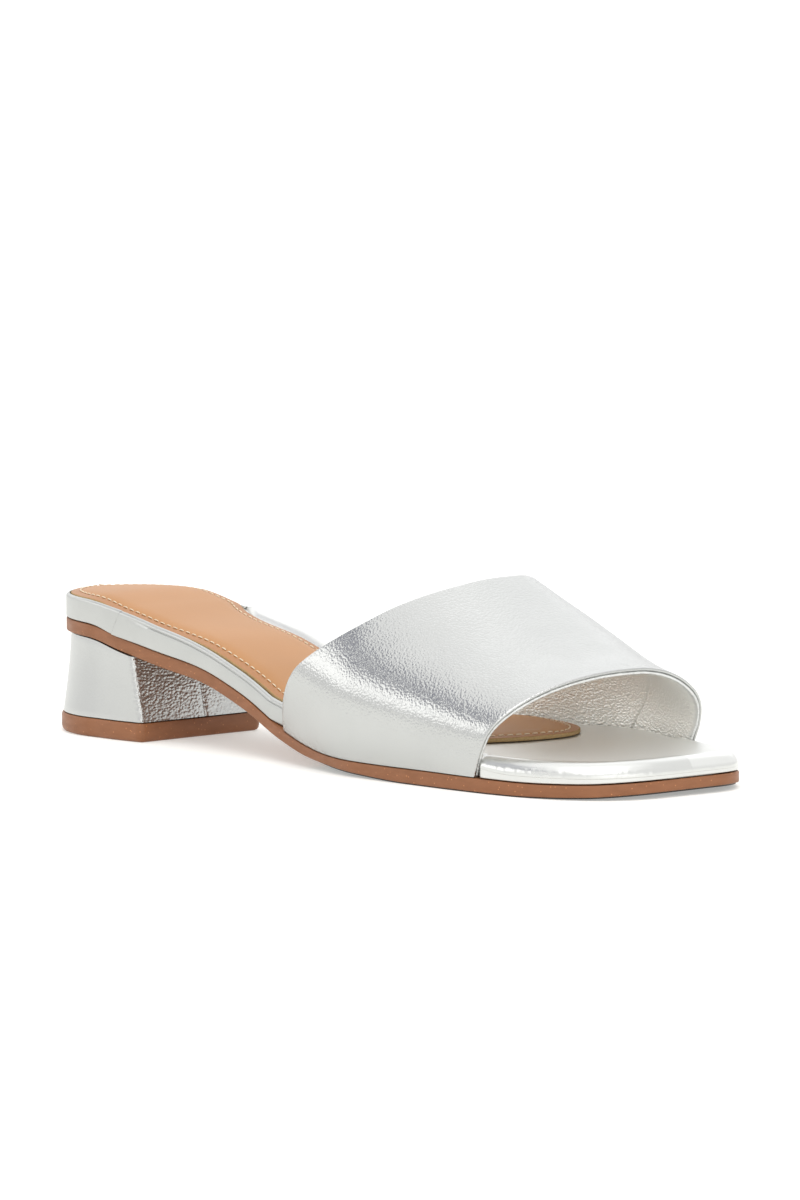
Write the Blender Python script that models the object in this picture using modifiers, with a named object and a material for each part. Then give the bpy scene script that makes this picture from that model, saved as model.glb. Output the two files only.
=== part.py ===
"""Low heel sandal: a right slide with one wide band, a padded sock and a low covered heel.

Metres, +Z up, the floor at z = 0, the toe towards -Y and the wearer's right towards -X.
Plan work is done in two coordinates: "along", forward from the back of the sole, and
"side", out from the sole's own axis and positive on the wearer's right, which is the
outer side of this right shoe. A loop of plan points runs from the heel's back along the
outer side to the middle of the toe's front, and back along the inner side.
"""

import math

import bmesh
import bpy
import numpy as np

NAME = "low_heel_sandal"

# Sole: plan. LENGTH runs to the toe's inner corner before it is rounded, so that the
# finished sole is 1.6 mm shorter.
LENGTH = 0.245
SEAT_WIDTH = 0.0475
WAIST_WIDTH = 0.0430
BALL_WIDTH = 0.0800
TOE_WIDTH = 0.0725
HEEL_ROUND = 0.0290
TOE_START = 0.86

# Sole: side
SEAT_HEIGHT = 0.0294
TOE_SPRING = 0.0017
SOLE_THICKNESS = 0.0044
SOLE_CHAMFER = 0.0004
BOARD_THICKNESS = 0.0060
BOARD_ROLL = 0.0010
TOE_ROLL = 0.0042
TOE_ROLL_START = 0.74
WRAP_STEP = 0.0004
LIP_HEIGHT = 0.0026
LIP_WIDTH = 0.0005

# Sock
SOCK_EDGE = 0.0011
SOCK_CROWN = 0.0020
SOCK_MARGIN = 0.0008
SOCK_ARCH_MARGIN = 0.0028
SOCK_ROLL = 0.0005
SOCK_LENGTH = 0.1885
SOCK_TURN = 0.1560
SOCK_BACK_RISE = 0.0350
SOCK_TIP_SIDE = -0.0080
SOCK_CROWN_POWER = 2.4

# Band
BAND_WALL = 0.0018
BAND_INSET = 0.0002
INSTEP_HEIGHT = 0.0480
OUTER_BULGE = 0.0048
INNER_BULGE = 0.0012

# Heel
TOP_PIECE_THICKNESS = 0.0055
TOP_PIECE_PROUD = 0.0005
TOP_PIECE_CHAMFER = 0.0006
HEEL_TOP_INSET = 0.0005
HEEL_FLARE = 0.0042
HEEL_BREAST_FLARE = 0.0004
HEEL_CORNER = 0.0022
BREAST_AT_TOP = 0.0470
BREAST_AT_BASE = 0.0508
HEEL_BACK_AT_TOP = 0.0024
HEEL_BACK_AT_BASE = 0.0006

CLEARANCE = 0.0003

# Plan of the sole, in front of the heel's round and behind the toe's corners:
# along as a share of LENGTH, the width that the row follows, outer and inner half of it
PLAN = (
    (0.12, SEAT_WIDTH, 0.514, 0.462),
    (0.17, SEAT_WIDTH, 0.530, 0.463),
    (0.22, SEAT_WIDTH, 0.524, 0.415),
    (0.28, WAIST_WIDTH, 0.570, 0.421),
    (0.40, WAIST_WIDTH, 0.607, 0.400),
    (0.52, WAIST_WIDTH, 0.726, 0.595),
    (0.62, BALL_WIDTH, 0.446, 0.432),
    (0.68, BALL_WIDTH, 0.446, 0.515),
    (0.73, BALL_WIDTH, 0.445, 0.550),
    (0.77, BALL_WIDTH, 0.443, 0.545),
    (0.82, BALL_WIDTH, 0.435, 0.515),
    (TOE_START, TOE_WIDTH, 0.463, 0.538),
)

# Corners of the toe before they are rounded: along as a share of LENGTH, side of TOE_WIDTH,
# and how far along the straight front, from the outer corner, each corner's round reaches
OUTER_CORNER = (0.978, 0.382)
INNER_CORNER = (1.000, -0.443)
FRONT_ROUND_OUTER = 0.38
FRONT_MIDDLE = 0.54
FRONT_ROUND_INNER = 0.70

# Side view of the sole: along as a share of LENGTH, the underside's lift as shares of
# SEAT_HEIGHT and TOE_SPRING, then shares of SOLE_THICKNESS and BOARD_THICKNESS
SIDE = (
    (0.00, 1.000, 0.00, 0.97, 0.90),
    (0.10, 0.982, 0.00, 0.97, 0.91),
    (0.17, 0.880, 0.00, 0.98, 0.90),
    (0.24, 0.762, 0.00, 1.00, 0.84),
    (0.31, 0.664, 0.00, 0.92, 0.85),
    (0.38, 0.484, 0.00, 0.84, 0.88),
    (0.46, 0.230, 0.00, 0.72, 0.94),
    (0.54, 0.084, 0.00, 0.64, 1.07),
    (0.62, 0.027, 0.00, 0.80, 1.05),
    (0.70, 0.000, 0.00, 1.00, 0.98),
    (0.80, 0.000, 0.00, 1.05, 0.97),
    (0.86, 0.000, 0.00, 1.05, 0.92),
    (0.94, 0.000, 0.24, 1.02, 0.87),
    (1.00, 0.000, 1.00, 0.95, 0.80),
)

# Board edge: along as a share of LENGTH, outer and inner lip as shares of LIP_HEIGHT
LIP = (
    (0.13, 0.00, 0.00),
    (0.17, 0.62, 0.20),
    (0.21, 0.85, 0.90),
    (0.25, 0.78, 1.00),
    (0.32, 0.35, 1.00),
    (0.38, 0.15, 0.90),
    (0.50, 0.00, 0.70),
    (0.62, 0.00, 0.00),
)
WRAP_JOINT_OUTER = 0.160
WRAP_JOINT_INNER = 0.176

# Where the band passes outside the board: along as a share of LENGTH, share of the inset
BAND_SEAT = (
    (0.44, 0.0),
    (0.47, 1.0),
    (0.87, 1.0),
    (0.90, 0.0),
)

# The band as sections across the foot: along as a share of LENGTH, the crest's height over
# the sole as a share of INSTEP_HEIGHT, the crest's side of BALL_WIDTH, the bulges beyond the
# sole's edge of OUTER_BULGE and INNER_BULGE, the widest point's height as a share of the
# crest's, and the fullness of the outer and inner shoulders: 0.55 is a quarter ellipse
SECTIONS = (
    (0.45, 1.63, -0.320, 1.33, 1.15, 0.325, 0.33, 0.58),
    (0.55, 1.30, -0.275, 1.00, 0.97, 0.322, 0.38, 0.57),
    (0.65, 1.04, -0.235, 0.70, 0.78, 0.318, 0.44, 0.56),
    (0.75, 0.79, -0.200, 0.37, 0.58, 0.312, 0.49, 0.55),
    (0.83, 0.63, -0.170, 0.13, 0.43, 0.306, 0.53, 0.54),
    (0.90, 0.54, -0.140, 0.00, 0.30, 0.300, 0.56, 0.53),
)

# Rear and front edges of the band: share of the way over it from the outer side to the
# inner, and along as a share of LENGTH
BAND_EDGES = (
    (0.00, 0.469, 0.810),
    (0.15, 0.521, 0.827),
    (0.30, 0.597, 0.853),
    (0.43, 0.650, 0.873),
    (0.50, 0.660, 0.881),
    (0.57, 0.656, 0.884),
    (0.70, 0.618, 0.882),
    (0.85, 0.536, 0.866),
    (1.00, 0.477, 0.851),
)
FOOT_SHARE = 0.15

# Fineness
RIBS = 46
CELLS_ACROSS = 6
ROLL_STEPS = 3
BAND_ROWS = 18
BAND_CELLS = 34
HEEL_LEVELS = 4
HEEL_RIBS = 16
ROUND_STEPS = 14
CURVE_STEPS = 120
EVEN_SHARE = 0.55
SHARP_ANGLE = math.radians(40)

SILVER = (0.80, 0.80, 0.78)
TAN = (0.70, 0.40, 0.22)
BROWN = (0.36, 0.15, 0.08)


def smooth(rows, column, at, of_width=None):
    """Column of a table at the given place, on a smooth curve that never overshoots."""
    knots = np.array([row[0] for row in rows], float)
    values = np.array([row[column] for row in rows], float)
    if of_width is not None:
        values = values * np.array([row[of_width] for row in rows], float)
    step = np.diff(knots)
    slope = np.diff(values) / step
    tangent = np.zeros(len(knots))
    tangent[0], tangent[-1] = slope[0], slope[-1]
    for i in range(1, len(knots) - 1):
        before, after = slope[i - 1], slope[i]
        if before * after > 0:
            near, far = 2 * step[i] + step[i - 1], step[i] + 2 * step[i - 1]
            tangent[i] = (near + far) / (near / before + far / after)
    at = np.clip(np.asarray(at, float), knots[0], knots[-1])
    i = np.clip(np.searchsorted(knots, at, side="right") - 1, 0, len(step) - 1)
    t = (at - knots[i]) / step[i]
    return (
        (1 + 2 * t) * (1 - t) ** 2 * values[i]
        + t * (1 - t) ** 2 * step[i] * tangent[i]
        + t * t * (3 - 2 * t) * values[i + 1]
        + t * t * (t - 1) * step[i] * tangent[i + 1]
    )


def half_width(along, outer):
    """Outer or inner half of the sole's width."""
    return smooth(PLAN, 2 if outer else 3, along / LENGTH, of_width=1)


def underside(along):
    """Height of the sole's underside."""
    share = np.asarray(along) / LENGTH
    return SEAT_HEIGHT * smooth(SIDE, 1, share) + TOE_SPRING * smooth(SIDE, 2, share)


def sole_top(along):
    """Height of the sole's upper face."""
    return underside(along) + SOLE_THICKNESS * smooth(SIDE, 3, np.asarray(along) / LENGTH)


def board_top(along):
    """Height of the board's upper face, inside its lip."""
    return sole_top(along) + BOARD_THICKNESS * smooth(SIDE, 4, np.asarray(along) / LENGTH)


def quadratic(start, corner, end):
    """Round from start to end that leaves both along the lines to the corner."""
    t = np.linspace(0, 1, ROUND_STEPS)[:, None]
    return start * (1 - t) ** 2 + 2 * corner * t * (1 - t) + end * t * t


def side_curve(outer):
    """Fine plan points of one side, from the heel's back to the middle of the toe's front."""
    way = 1 if outer else -1
    turn = np.linspace(0, math.pi / 2, ROUND_STEPS)
    heel = np.stack(
        [HEEL_ROUND * (1 - np.cos(turn)), way * half_width(HEEL_ROUND, outer) * np.sin(turn)], -1
    )
    along = np.linspace(HEEL_ROUND, TOE_START * LENGTH, CURVE_STEPS)[1:]
    middle = np.stack([along, way * half_width(along, outer)], -1)
    corners = [np.array([a * LENGTH, s * TOE_WIDTH]) for a, s in (OUTER_CORNER, INNER_CORNER)]
    reach = FRONT_ROUND_OUTER if outer else FRONT_ROUND_INNER
    round_end = corners[0] + (corners[1] - corners[0]) * reach
    front_middle = corners[0] + (corners[1] - corners[0]) * FRONT_MIDDLE
    toe = quadratic(middle[-1], corners[0] if outer else corners[1], round_end)[1:]
    return np.concatenate([heel, middle, toe, front_middle[None]])


def spaced(count):
    """Shares from 0 to 1, closer together at both ends."""
    even = np.linspace(0, 1, count)
    return EVEN_SHARE * even + (1 - EVEN_SHARE) * (1 - np.cos(math.pi * even)) / 2


def lengths_of(points):
    """Distance along a line of points, from its start."""
    return np.concatenate([[0], np.cumsum(np.hypot(*np.diff(points, axis=0).T))])


def points_at(points, distances):
    """Points of a line at the given distances from its start."""
    run = lengths_of(points)
    return np.stack([np.interp(distances, run, points[:, i]) for i in (0, 1)], -1)


def closed_loop(outer_points, inner_points):
    """One loop from two sides that share their first and last points."""
    return np.concatenate([outer_points, inner_points[-2:0:-1]])


def sole_loop():
    """Plan loop of the sole, with a pair of points close together at each joint of the wrap."""
    sides = []
    for outer, joint in ((True, WRAP_JOINT_OUTER), (False, WRAP_JOINT_INNER)):
        fine = side_curve(outer)
        run = lengths_of(fine)
        at_joint = np.interp(joint * LENGTH, fine[: -2 * ROUND_STEPS, 0], run[: -2 * ROUND_STEPS])
        distances = run[-1] * spaced(RIBS - 1)
        nearest = int(np.argmin(abs(distances - at_joint)))
        distances[nearest] = at_joint - CLEARANCE / 2
        distances = np.insert(distances, nearest + 1, at_joint + CLEARANCE / 2)
        sides.append(points_at(fine, distances))
    return closed_loop(*sides)


def outward(loop):
    """Unit plan normals of a loop, pointing out."""
    ahead, behind = np.roll(loop, -1, axis=0), np.roll(loop, 1, axis=0)
    tangent = (ahead - behind) / np.linalg.norm(ahead - behind, axis=1)[:, None]
    normal = np.stack([tangent[:, 1], -tangent[:, 0]], -1)
    area = np.sum(loop[:, 0] * ahead[:, 1] - ahead[:, 0] * loop[:, 1])
    return normal if area > 0 else -normal


def offset(loop, distance):
    """Loop moved in by a distance, which may differ from point to point."""
    return loop - outward(loop) * np.broadcast_to(distance, len(loop))[:, None]


def raised(loop, height):
    """Plan loop with a height for each point."""
    return np.column_stack([loop, np.broadcast_to(height, len(loop))])


def material(name, colour, roughness, metallic):
    """Principled material of one piece."""
    made = bpy.data.materials.new(name)
    made.use_nodes = True
    shader = made.node_tree.nodes["Principled BSDF"]
    shader.inputs["Base Color"].default_value = (*colour, 1)
    shader.inputs["Roughness"].default_value = roughness
    shader.inputs["Metallic"].default_value = metallic
    return made


def mesh_object(name, points, faces, finish):
    """Object from (along, side, height) points."""
    mesh = bpy.data.meshes.new(name)
    placed = [(-side, -along, height) for along, side, height in points]
    mesh.from_pydata(placed, [], faces)
    work = bmesh.new()
    work.from_mesh(mesh)
    bmesh.ops.recalc_face_normals(work, faces=work.faces)
    work.to_mesh(mesh)
    work.free()
    mesh.shade_smooth()
    mesh.set_sharp_from_angle(angle=SHARP_ANGLE)
    mesh.materials.append(finish)
    made = bpy.data.objects.new(name, mesh)
    bpy.data.collections[NAME].objects.link(made)
    return made


def ribbed_solid(name, loops, bottom, top, finish):
    """Closed solid from matching loops, bottom to top, whose ends are filled with ribs.

    A rib joins the points of the two sides that lie across from each other. bottom and top
    give the height inside the first and last loops from (along, share of the way across).
    """
    count = len(loops[0])
    half = count // 2
    points = [tuple(point) for loop in loops for point in loop]
    faces = []
    for level in range(len(loops) - 1):
        for i in range(count):
            j = (i + 1) % count
            low, high = level * count, (level + 1) * count
            faces.append((low + i, low + j, high + j, high + i))
    for start, loop, height in ((0, loops[0], bottom), ((len(loops) - 1) * count, loops[-1], top)):
        ribs = [[start]]
        for k in range(1, half):
            first, last = loop[k], loop[count - k]
            rib = [start + k]
            for cell in range(1, CELLS_ACROSS):
                share = cell / CELLS_ACROSS
                along, side = (first + (last - first) * share)[:2]
                rib.append(len(points))
                points.append((along, side, float(height(along, share))))
            ribs.append(rib + [start + count - k])
        ribs.append([start + half])
        for near, far in zip(ribs, ribs[1:]):
            if len(near) == 1:
                faces += [(near[0], far[i], far[i + 1]) for i in range(len(far) - 1)]
            elif len(far) == 1:
                faces += [(near[i], far[0], near[i + 1]) for i in range(len(near) - 1)]
            else:
                faces += [(near[i], far[i], far[i + 1], near[i + 1]) for i in range(len(near) - 1)]
    return mesh_object(name, points, faces, finish)


def along_only(height):
    """Height function of a face that is level from side to side."""
    return lambda along, share: height(along)


def make_outsole(loop, finish):
    """Thin sole: sloped from the seat to the ball, flat under the ball, sprung at the toe."""
    edges = ((SOLE_CHAMFER, 0), (0, SOLE_CHAMFER))
    loops = []
    for inset, rise in edges:
        plan = offset(loop, inset)
        loops.append(raised(plan, underside(plan[:, 0]) + rise))
    for inset, rise in reversed(edges):
        plan = offset(loop, inset)
        loops.append(raised(plan, sole_top(plan[:, 0]) - rise))
    return ribbed_solid("outsole", loops, along_only(underside), along_only(sole_top), finish)


def board_inset(loop):
    """Inset of the board's side from the sole's edge: the front wrap, and the band's wall."""
    share = loop[:, 0] / LENGTH
    outer = loop[:, 1] >= 0
    joint = np.where(outer, WRAP_JOINT_OUTER, WRAP_JOINT_INNER)
    margin = np.where(share > joint, BAND_INSET, BAND_INSET + WRAP_STEP)
    return margin + smooth(BAND_SEAT, 1, share) * (BAND_WALL + 2 * CLEARANCE)


def board_loop(loop):
    """Plan loop of the board's side."""
    return offset(loop, board_inset(loop))


def lip_height(plan):
    """Height of the board's lip over its upper face at each point."""
    share = plan[:, 0] / LENGTH
    return LIP_HEIGHT * np.where(plan[:, 1] >= 0, smooth(LIP, 1, share), smooth(LIP, 2, share))


def make_board(loop, finish):
    """Covered board with a raised lip beside the waist and a rolled edge round the toe."""
    side = board_loop(loop)
    share = side[:, 0] / LENGTH
    blend = np.clip((share - TOE_ROLL_START) / (TOE_START - TOE_ROLL_START), 0, 1)
    roll = BOARD_ROLL + (TOE_ROLL - BOARD_ROLL) * blend * blend * (3 - 2 * blend)
    lip = lip_height(side)
    rim = board_top(side[:, 0]) + lip
    base = sole_top(side[:, 0]) + CLEARANCE
    loops = [raised(side, base)]
    for turn in np.linspace(0, math.pi / 2, ROLL_STEPS + 1):
        plan = offset(side, roll * (1 - math.cos(turn)))
        loops.append(raised(plan, rim - roll * (1 - math.sin(turn))))
    plan = offset(side, roll + LIP_WIDTH)
    loops.append(raised(plan, board_top(plan[:, 0])))
    low = along_only(lambda along: sole_top(along) + CLEARANCE)
    return ribbed_solid("insole_board", loops, low, along_only(board_top), finish)


def sock_side(side_points):
    """Sock's plan on one side: beside the board's edge, then a round to the tip."""
    straight = side_points[side_points[:, 0] < SOCK_TURN]
    start = straight[-1]
    turn = np.linspace(0, math.pi / 2, ROUND_STEPS)[1:]
    front = np.stack(
        [
            start[0] + (SOCK_LENGTH - start[0]) * np.sin(turn),
            SOCK_TIP_SIDE + (start[1] - SOCK_TIP_SIDE) * np.cos(turn),
        ],
        -1,
    )
    fine = np.concatenate([straight, front])
    return points_at(fine, lengths_of(fine)[-1] * spaced(RIBS))


def make_sock(loop, finish):
    """Padded sock on the board: a thin edge and a crowned middle, rounded under the band."""
    side = board_loop(loop)
    lip = lip_height(side)
    beside_lip = (BOARD_ROLL + LIP_WIDTH + CLEARANCE) * np.clip(lip / CLEARANCE, 0, 1)
    arch = SOCK_ARCH_MARGIN * np.where(side[:, 1] < 0, lip / LIP_HEIGHT, 0)
    within = offset(side, np.maximum(SOCK_MARGIN, beside_lip) + arch)
    half = len(within) // 2
    outer_side = sock_side(within[: half + 1])
    inner_side = sock_side(np.concatenate([within[:1], within[:half:-1]]))
    plan = closed_loop(outer_side, inner_side)

    def base(along):
        return board_top(along) + CLEARANCE

    def top(along, share):
        across = 1 - abs(2 * share - 1) ** SOCK_CROWN_POWER
        ends = min(along / SOCK_BACK_RISE, (SOCK_LENGTH - along) / (SOCK_LENGTH - SOCK_TURN), 1)
        return base(along) + SOCK_EDGE + SOCK_CROWN * across * math.sin(ends * math.pi / 2)

    loops = [raised(plan, base(plan[:, 0]))]
    loops.append(raised(plan, base(plan[:, 0]) + SOCK_EDGE - SOCK_ROLL))
    inner = offset(plan, SOCK_ROLL)
    loops.append(raised(inner, base(inner[:, 0]) + SOCK_EDGE))
    return ribbed_solid("sock", loops, along_only(base), top, finish)


def band_point(along, girth):
    """Point of the band's outer face: girth runs from the outer foot over to the inner foot."""
    share = along / LENGTH
    crest, crest_side = (float(smooth(SECTIONS, column, share)) for column in (1, 2))
    bulges = [float(smooth(SECTIONS, column, share)) for column in (3, 4)]
    widest, outer_full, inner_full = (float(smooth(SECTIONS, c, share)) for c in (5, 6, 7))
    height = INSTEP_HEIGHT * crest
    centre = BALL_WIDTH * crest_side
    outer = girth < 0.5
    way = 1 if outer else -1
    foot = way * (float(half_width(along, outer)) - BAND_INSET)
    bulge = way * bulges[0 if outer else 1] * (OUTER_BULGE if outer else INNER_BULGE)
    rise = widest * height
    floor = float(sole_top(along)) + CLEARANCE
    low = min(girth, 1 - girth) / FOOT_SHARE
    if low < 1:
        return along, foot + bulge * (1 - (1 - low) ** 2), floor + rise * low
    t = (min(girth, 1 - girth) - FOOT_SHARE) / (0.5 - FOOT_SHARE)
    full = outer_full if outer else inner_full
    leaving, arriving = 3 * t * (1 - t) ** 2, 3 * t * t * (1 - t)
    out = (1 - t) ** 3 + leaving + arriving * full
    up = leaving * full + arriving + t**3
    side = centre + (foot + bulge - centre) * out
    return along, side, floor + rise + (height - rise) * up


def band_edge(column, girth):
    """Where the rear or front edge of the band lies, along the sole."""
    return LENGTH * float(smooth(BAND_EDGES, column, girth))


def make_band(finish):
    """Band over the forefoot: one open sheet with its wall added inwards."""
    points = []
    for row in range(BAND_ROWS + 1):
        for cell in range(BAND_CELLS + 1):
            girth = cell / BAND_CELLS
            rear, front = band_edge(1, girth), band_edge(2, girth)
            points.append(band_point(rear + (front - rear) * row / BAND_ROWS, girth))
    faces = []
    width = BAND_CELLS + 1
    for row in range(BAND_ROWS):
        for cell in range(BAND_CELLS):
            corner = row * width + cell
            faces.append((corner, corner + 1, corner + width + 1, corner + width))
    made = mesh_object("band", points, faces, finish)
    if made.data.polygons[0].normal.x > 0:
        made.data.flip_normals()
    wall = made.modifiers.new("wall", "SOLIDIFY")
    wall.thickness = BAND_WALL
    wall.offset = -1
    wall.use_even_offset = True
    return made


def heel_plan(back, breast, moved_in):
    """Plan loop under the seat: the sole's outline moved in or out, closed by the breast."""
    sole = sole_loop()
    ahead = np.clip(sole[:, 0] / BREAST_AT_TOP, 0, 1)
    loop = offset(sole, moved_in * (1 - ahead) - HEEL_BREAST_FLARE * ahead)
    loop[:, 0] = breast - (breast - loop[:, 0]) * (breast - back) / (breast - loop[:, 0].min())
    half = len(loop) // 2
    sides = []
    for side in (loop[: half + 1], np.concatenate([loop[:1], loop[:half:-1]])):
        corner = np.interp(breast, side[:, 0], side[:, 1])
        behind = side[side[:, 0] < breast - HEEL_CORNER]
        before = np.interp(breast - HEEL_CORNER, side[:, 0], side[:, 1])
        way = np.sign(corner)
        round_start = np.array([breast - HEEL_CORNER, before])
        round_end = np.array([breast, corner - way * HEEL_CORNER])
        turn = quadratic(round_start, np.array([breast, corner]), round_end)
        sides.append((behind, turn))
    middle = (sides[0][1][-1] + sides[1][1][-1]) / 2
    lines = []
    for behind, turn in sides:
        flank = np.concatenate([behind, turn[:1]])
        even = np.linspace(0, lengths_of(flank)[-1], HEEL_RIBS)
        corner_points = turn[[ROUND_STEPS // 3, 2 * ROUND_STEPS // 3, ROUND_STEPS - 1]]
        front = [(corner_points[-1] + middle) / 2, middle]
        lines.append(np.concatenate([points_at(flank, even), corner_points, front]))
    return closed_loop(*lines)


def make_heel_block(finish):
    """Covered block under the seat, flared to its base, with a leaning breast."""
    base = TOP_PIECE_THICKNESS + CLEARANCE
    loops = []
    for level in range(HEEL_LEVELS + 1):
        share = level / HEEL_LEVELS
        back = HEEL_BACK_AT_BASE + (HEEL_BACK_AT_TOP - HEEL_BACK_AT_BASE) * share
        breast = BREAST_AT_BASE + (BREAST_AT_TOP - BREAST_AT_BASE) * share
        moved_in = -HEEL_FLARE + (HEEL_FLARE + HEEL_TOP_INSET) * math.sin(share * math.pi / 2)
        plan = heel_plan(back, breast, moved_in)
        top = underside(plan[:, 0]) - CLEARANCE
        loops.append(raised(plan, base + (top - base) * share))

    def under_sole(along):
        return underside(along) - CLEARANCE

    return ribbed_solid(
        "heel_block", loops, along_only(lambda along: base), along_only(under_sole), finish
    )


def make_top_piece(finish):
    """Wearing piece under the block, a little proud of it, flat on the floor."""
    loops = []
    for inset, height in (
        (TOP_PIECE_CHAMFER, 0),
        (0, TOP_PIECE_CHAMFER),
        (0, TOP_PIECE_THICKNESS - TOP_PIECE_CHAMFER),
        (TOP_PIECE_CHAMFER, TOP_PIECE_THICKNESS),
    ):
        plan = heel_plan(HEEL_BACK_AT_BASE, BREAST_AT_BASE, -HEEL_FLARE)
        loops.append(raised(offset(plan, inset - TOP_PIECE_PROUD), height))
    return ribbed_solid(
        "top_piece",
        loops,
        along_only(lambda along: 0),
        along_only(lambda along: TOP_PIECE_THICKNESS),
        finish,
    )


def centre_on_floor(pieces):
    """Moves every mesh so that the origin is under the middle of the whole shoe."""
    corners = np.array([vertex.co for piece in pieces for vertex in piece.data.vertices])
    middle = (corners.min(axis=0) + corners.max(axis=0)) / 2
    for piece in pieces:
        for vertex in piece.data.vertices:
            vertex.co.x -= middle[0]
            vertex.co.y -= middle[1]


def main():
    for old in list(bpy.data.objects):
        bpy.data.objects.remove(old, do_unlink=True)
    bpy.context.scene.collection.children.link(bpy.data.collections.new(NAME))
    silver = material("silver_leather", SILVER, 0.32, 0.85)
    tan = material("tan_sock", TAN, 0.55, 0.0)
    brown = material("brown_sole", BROWN, 0.50, 0.0)
    loop = sole_loop()
    pieces = [
        make_outsole(loop, brown),
        make_board(loop, silver),
        make_sock(loop, tan),
        make_band(silver),
        make_heel_block(silver),
        make_top_piece(brown),
    ]
    centre_on_floor(pieces)


main()
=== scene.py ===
"""Low heel sandal, dressed: silver leather, padded tan sock, brown sole, on a pale studio floor.

Shoe coordinates are "along", forward from the back of the sole, "side", out from its axis and
positive on the wearer's right, and height. The row frame has the toe towards -Y and the
wearer's right towards -X, so a point is placed at (x_centre - side, y_back - along, height).
"""

import logging
import math
from collections.abc import Callable, Sequence
from dataclasses import dataclass, field
from enum import Enum

import bmesh
import bpy
import numpy as np
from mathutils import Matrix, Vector

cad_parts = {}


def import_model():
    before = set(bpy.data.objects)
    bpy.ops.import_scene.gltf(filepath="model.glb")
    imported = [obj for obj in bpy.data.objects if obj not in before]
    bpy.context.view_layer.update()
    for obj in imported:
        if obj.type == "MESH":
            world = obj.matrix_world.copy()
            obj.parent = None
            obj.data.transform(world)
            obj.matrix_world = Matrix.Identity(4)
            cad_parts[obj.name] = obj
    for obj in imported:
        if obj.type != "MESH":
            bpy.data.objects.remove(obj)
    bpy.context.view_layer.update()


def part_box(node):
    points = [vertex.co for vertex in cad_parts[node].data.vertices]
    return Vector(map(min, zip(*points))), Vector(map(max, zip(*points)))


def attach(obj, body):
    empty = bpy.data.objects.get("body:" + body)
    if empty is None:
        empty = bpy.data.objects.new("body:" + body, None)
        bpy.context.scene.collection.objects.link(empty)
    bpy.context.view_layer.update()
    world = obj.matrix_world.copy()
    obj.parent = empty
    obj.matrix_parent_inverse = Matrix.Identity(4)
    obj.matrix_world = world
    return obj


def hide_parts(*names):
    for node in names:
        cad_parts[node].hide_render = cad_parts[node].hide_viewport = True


LOG = logging.getLogger("sandal")
BODY = "root"

#: Span of a noise's values over which a tone changes.
CLOUDS = (0.3, 0.7)

#: Least length in metres that anything is divided by.
LEAST = 1e-6

Row = tuple[float, ...]
Points = np.ndarray
HeightAt = Callable[[Points, Points, Points], Points]


class Slot(Enum):
    """Names of the material slots."""

    OUTSOLE = "outsole"
    BOARD = "board_cover"
    SOCK = "sock"
    BAND = "band"
    HEEL = "heel_cover"
    TOP_PIECE = "top_piece"


class Flank(Enum):
    """The two sides of the shoe, with the sign of "side" on each."""

    OUTER = 1
    INNER = -1


def smooth(rows: Sequence[Row], column: int, at: Points | float, of_width: int | None = None) -> Points:
    """Reads a column of a table on a smooth curve that never overshoots.

    Args:
        rows: Table whose first column holds the places.
        column: Column to read.
        at: Places to read it at.
        of_width: Column that the read one is a share of.

    Returns:
        The values there.
    """
    knots = np.array([row[0] for row in rows], float)
    values = np.array([row[column] for row in rows], float)
    if of_width is not None:
        values = values * np.array([row[of_width] for row in rows], float)
    step = np.diff(knots)
    slope = np.diff(values) / step
    tangent = np.zeros(len(knots))
    tangent[0], tangent[-1] = slope[0], slope[-1]
    for i in range(1, len(knots) - 1):
        before, after = slope[i - 1], slope[i]
        if before * after > 0:
            near, far = 2 * step[i] + step[i - 1], step[i] + 2 * step[i - 1]
            tangent[i] = (near + far) / (near / before + far / after)
    at = np.clip(np.asarray(at, float), knots[0], knots[-1])
    i = np.clip(np.searchsorted(knots, at, side="right") - 1, 0, len(step) - 1)
    t = (at - knots[i]) / step[i]
    return (
        (1 + 2 * t) * (1 - t) ** 2 * values[i]
        + t * (1 - t) ** 2 * step[i] * tangent[i]
        + t * t * (3 - 2 * t) * values[i + 1]
        + t * t * (t - 1) * step[i] * tangent[i + 1]
    )


def ramp(value: Points | float, low: float, high: float) -> Points:
    """Soft step from 0 at low to 1 at high.

    Args:
        value: Where to read it.
        low: Where it leaves 0.
        high: Where it reaches 1.

    Returns:
        The step's value.
    """
    t = np.clip((np.asarray(value, float) - low) / (high - low), 0, 1)
    return t * t * (3 - 2 * t)


def bump(value: Points | float, centre: float, half_width: float) -> Points:
    """Soft hill of height 1, which ends at half_width on both sides of its centre.

    Args:
        value: Where to read it.
        centre: Place of its top.
        half_width: Distance from the top to where it ends.

    Returns:
        The hill's value.
    """
    return 1 - ramp(abs(np.asarray(value, float) - centre), 0, half_width)


def linked(name: str, data: bpy.types.ID) -> bpy.types.Object:
    """Makes an object of a mesh, a lamp or a camera, and links it to the scene.

    Args:
        name: The object's name.
        data: Its mesh, light or camera.

    Returns:
        The object.
    """
    made = bpy.data.objects.new(name, data)
    bpy.context.scene.collection.objects.link(made)
    return made


def solid_colour(tint: Sequence[float], share: float = 1.0) -> Row:
    """Opaque colour from a tint, made darker or paler by a share of it."""
    return (*(min(1.0, value * share) for value in tint), 1.0)


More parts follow.
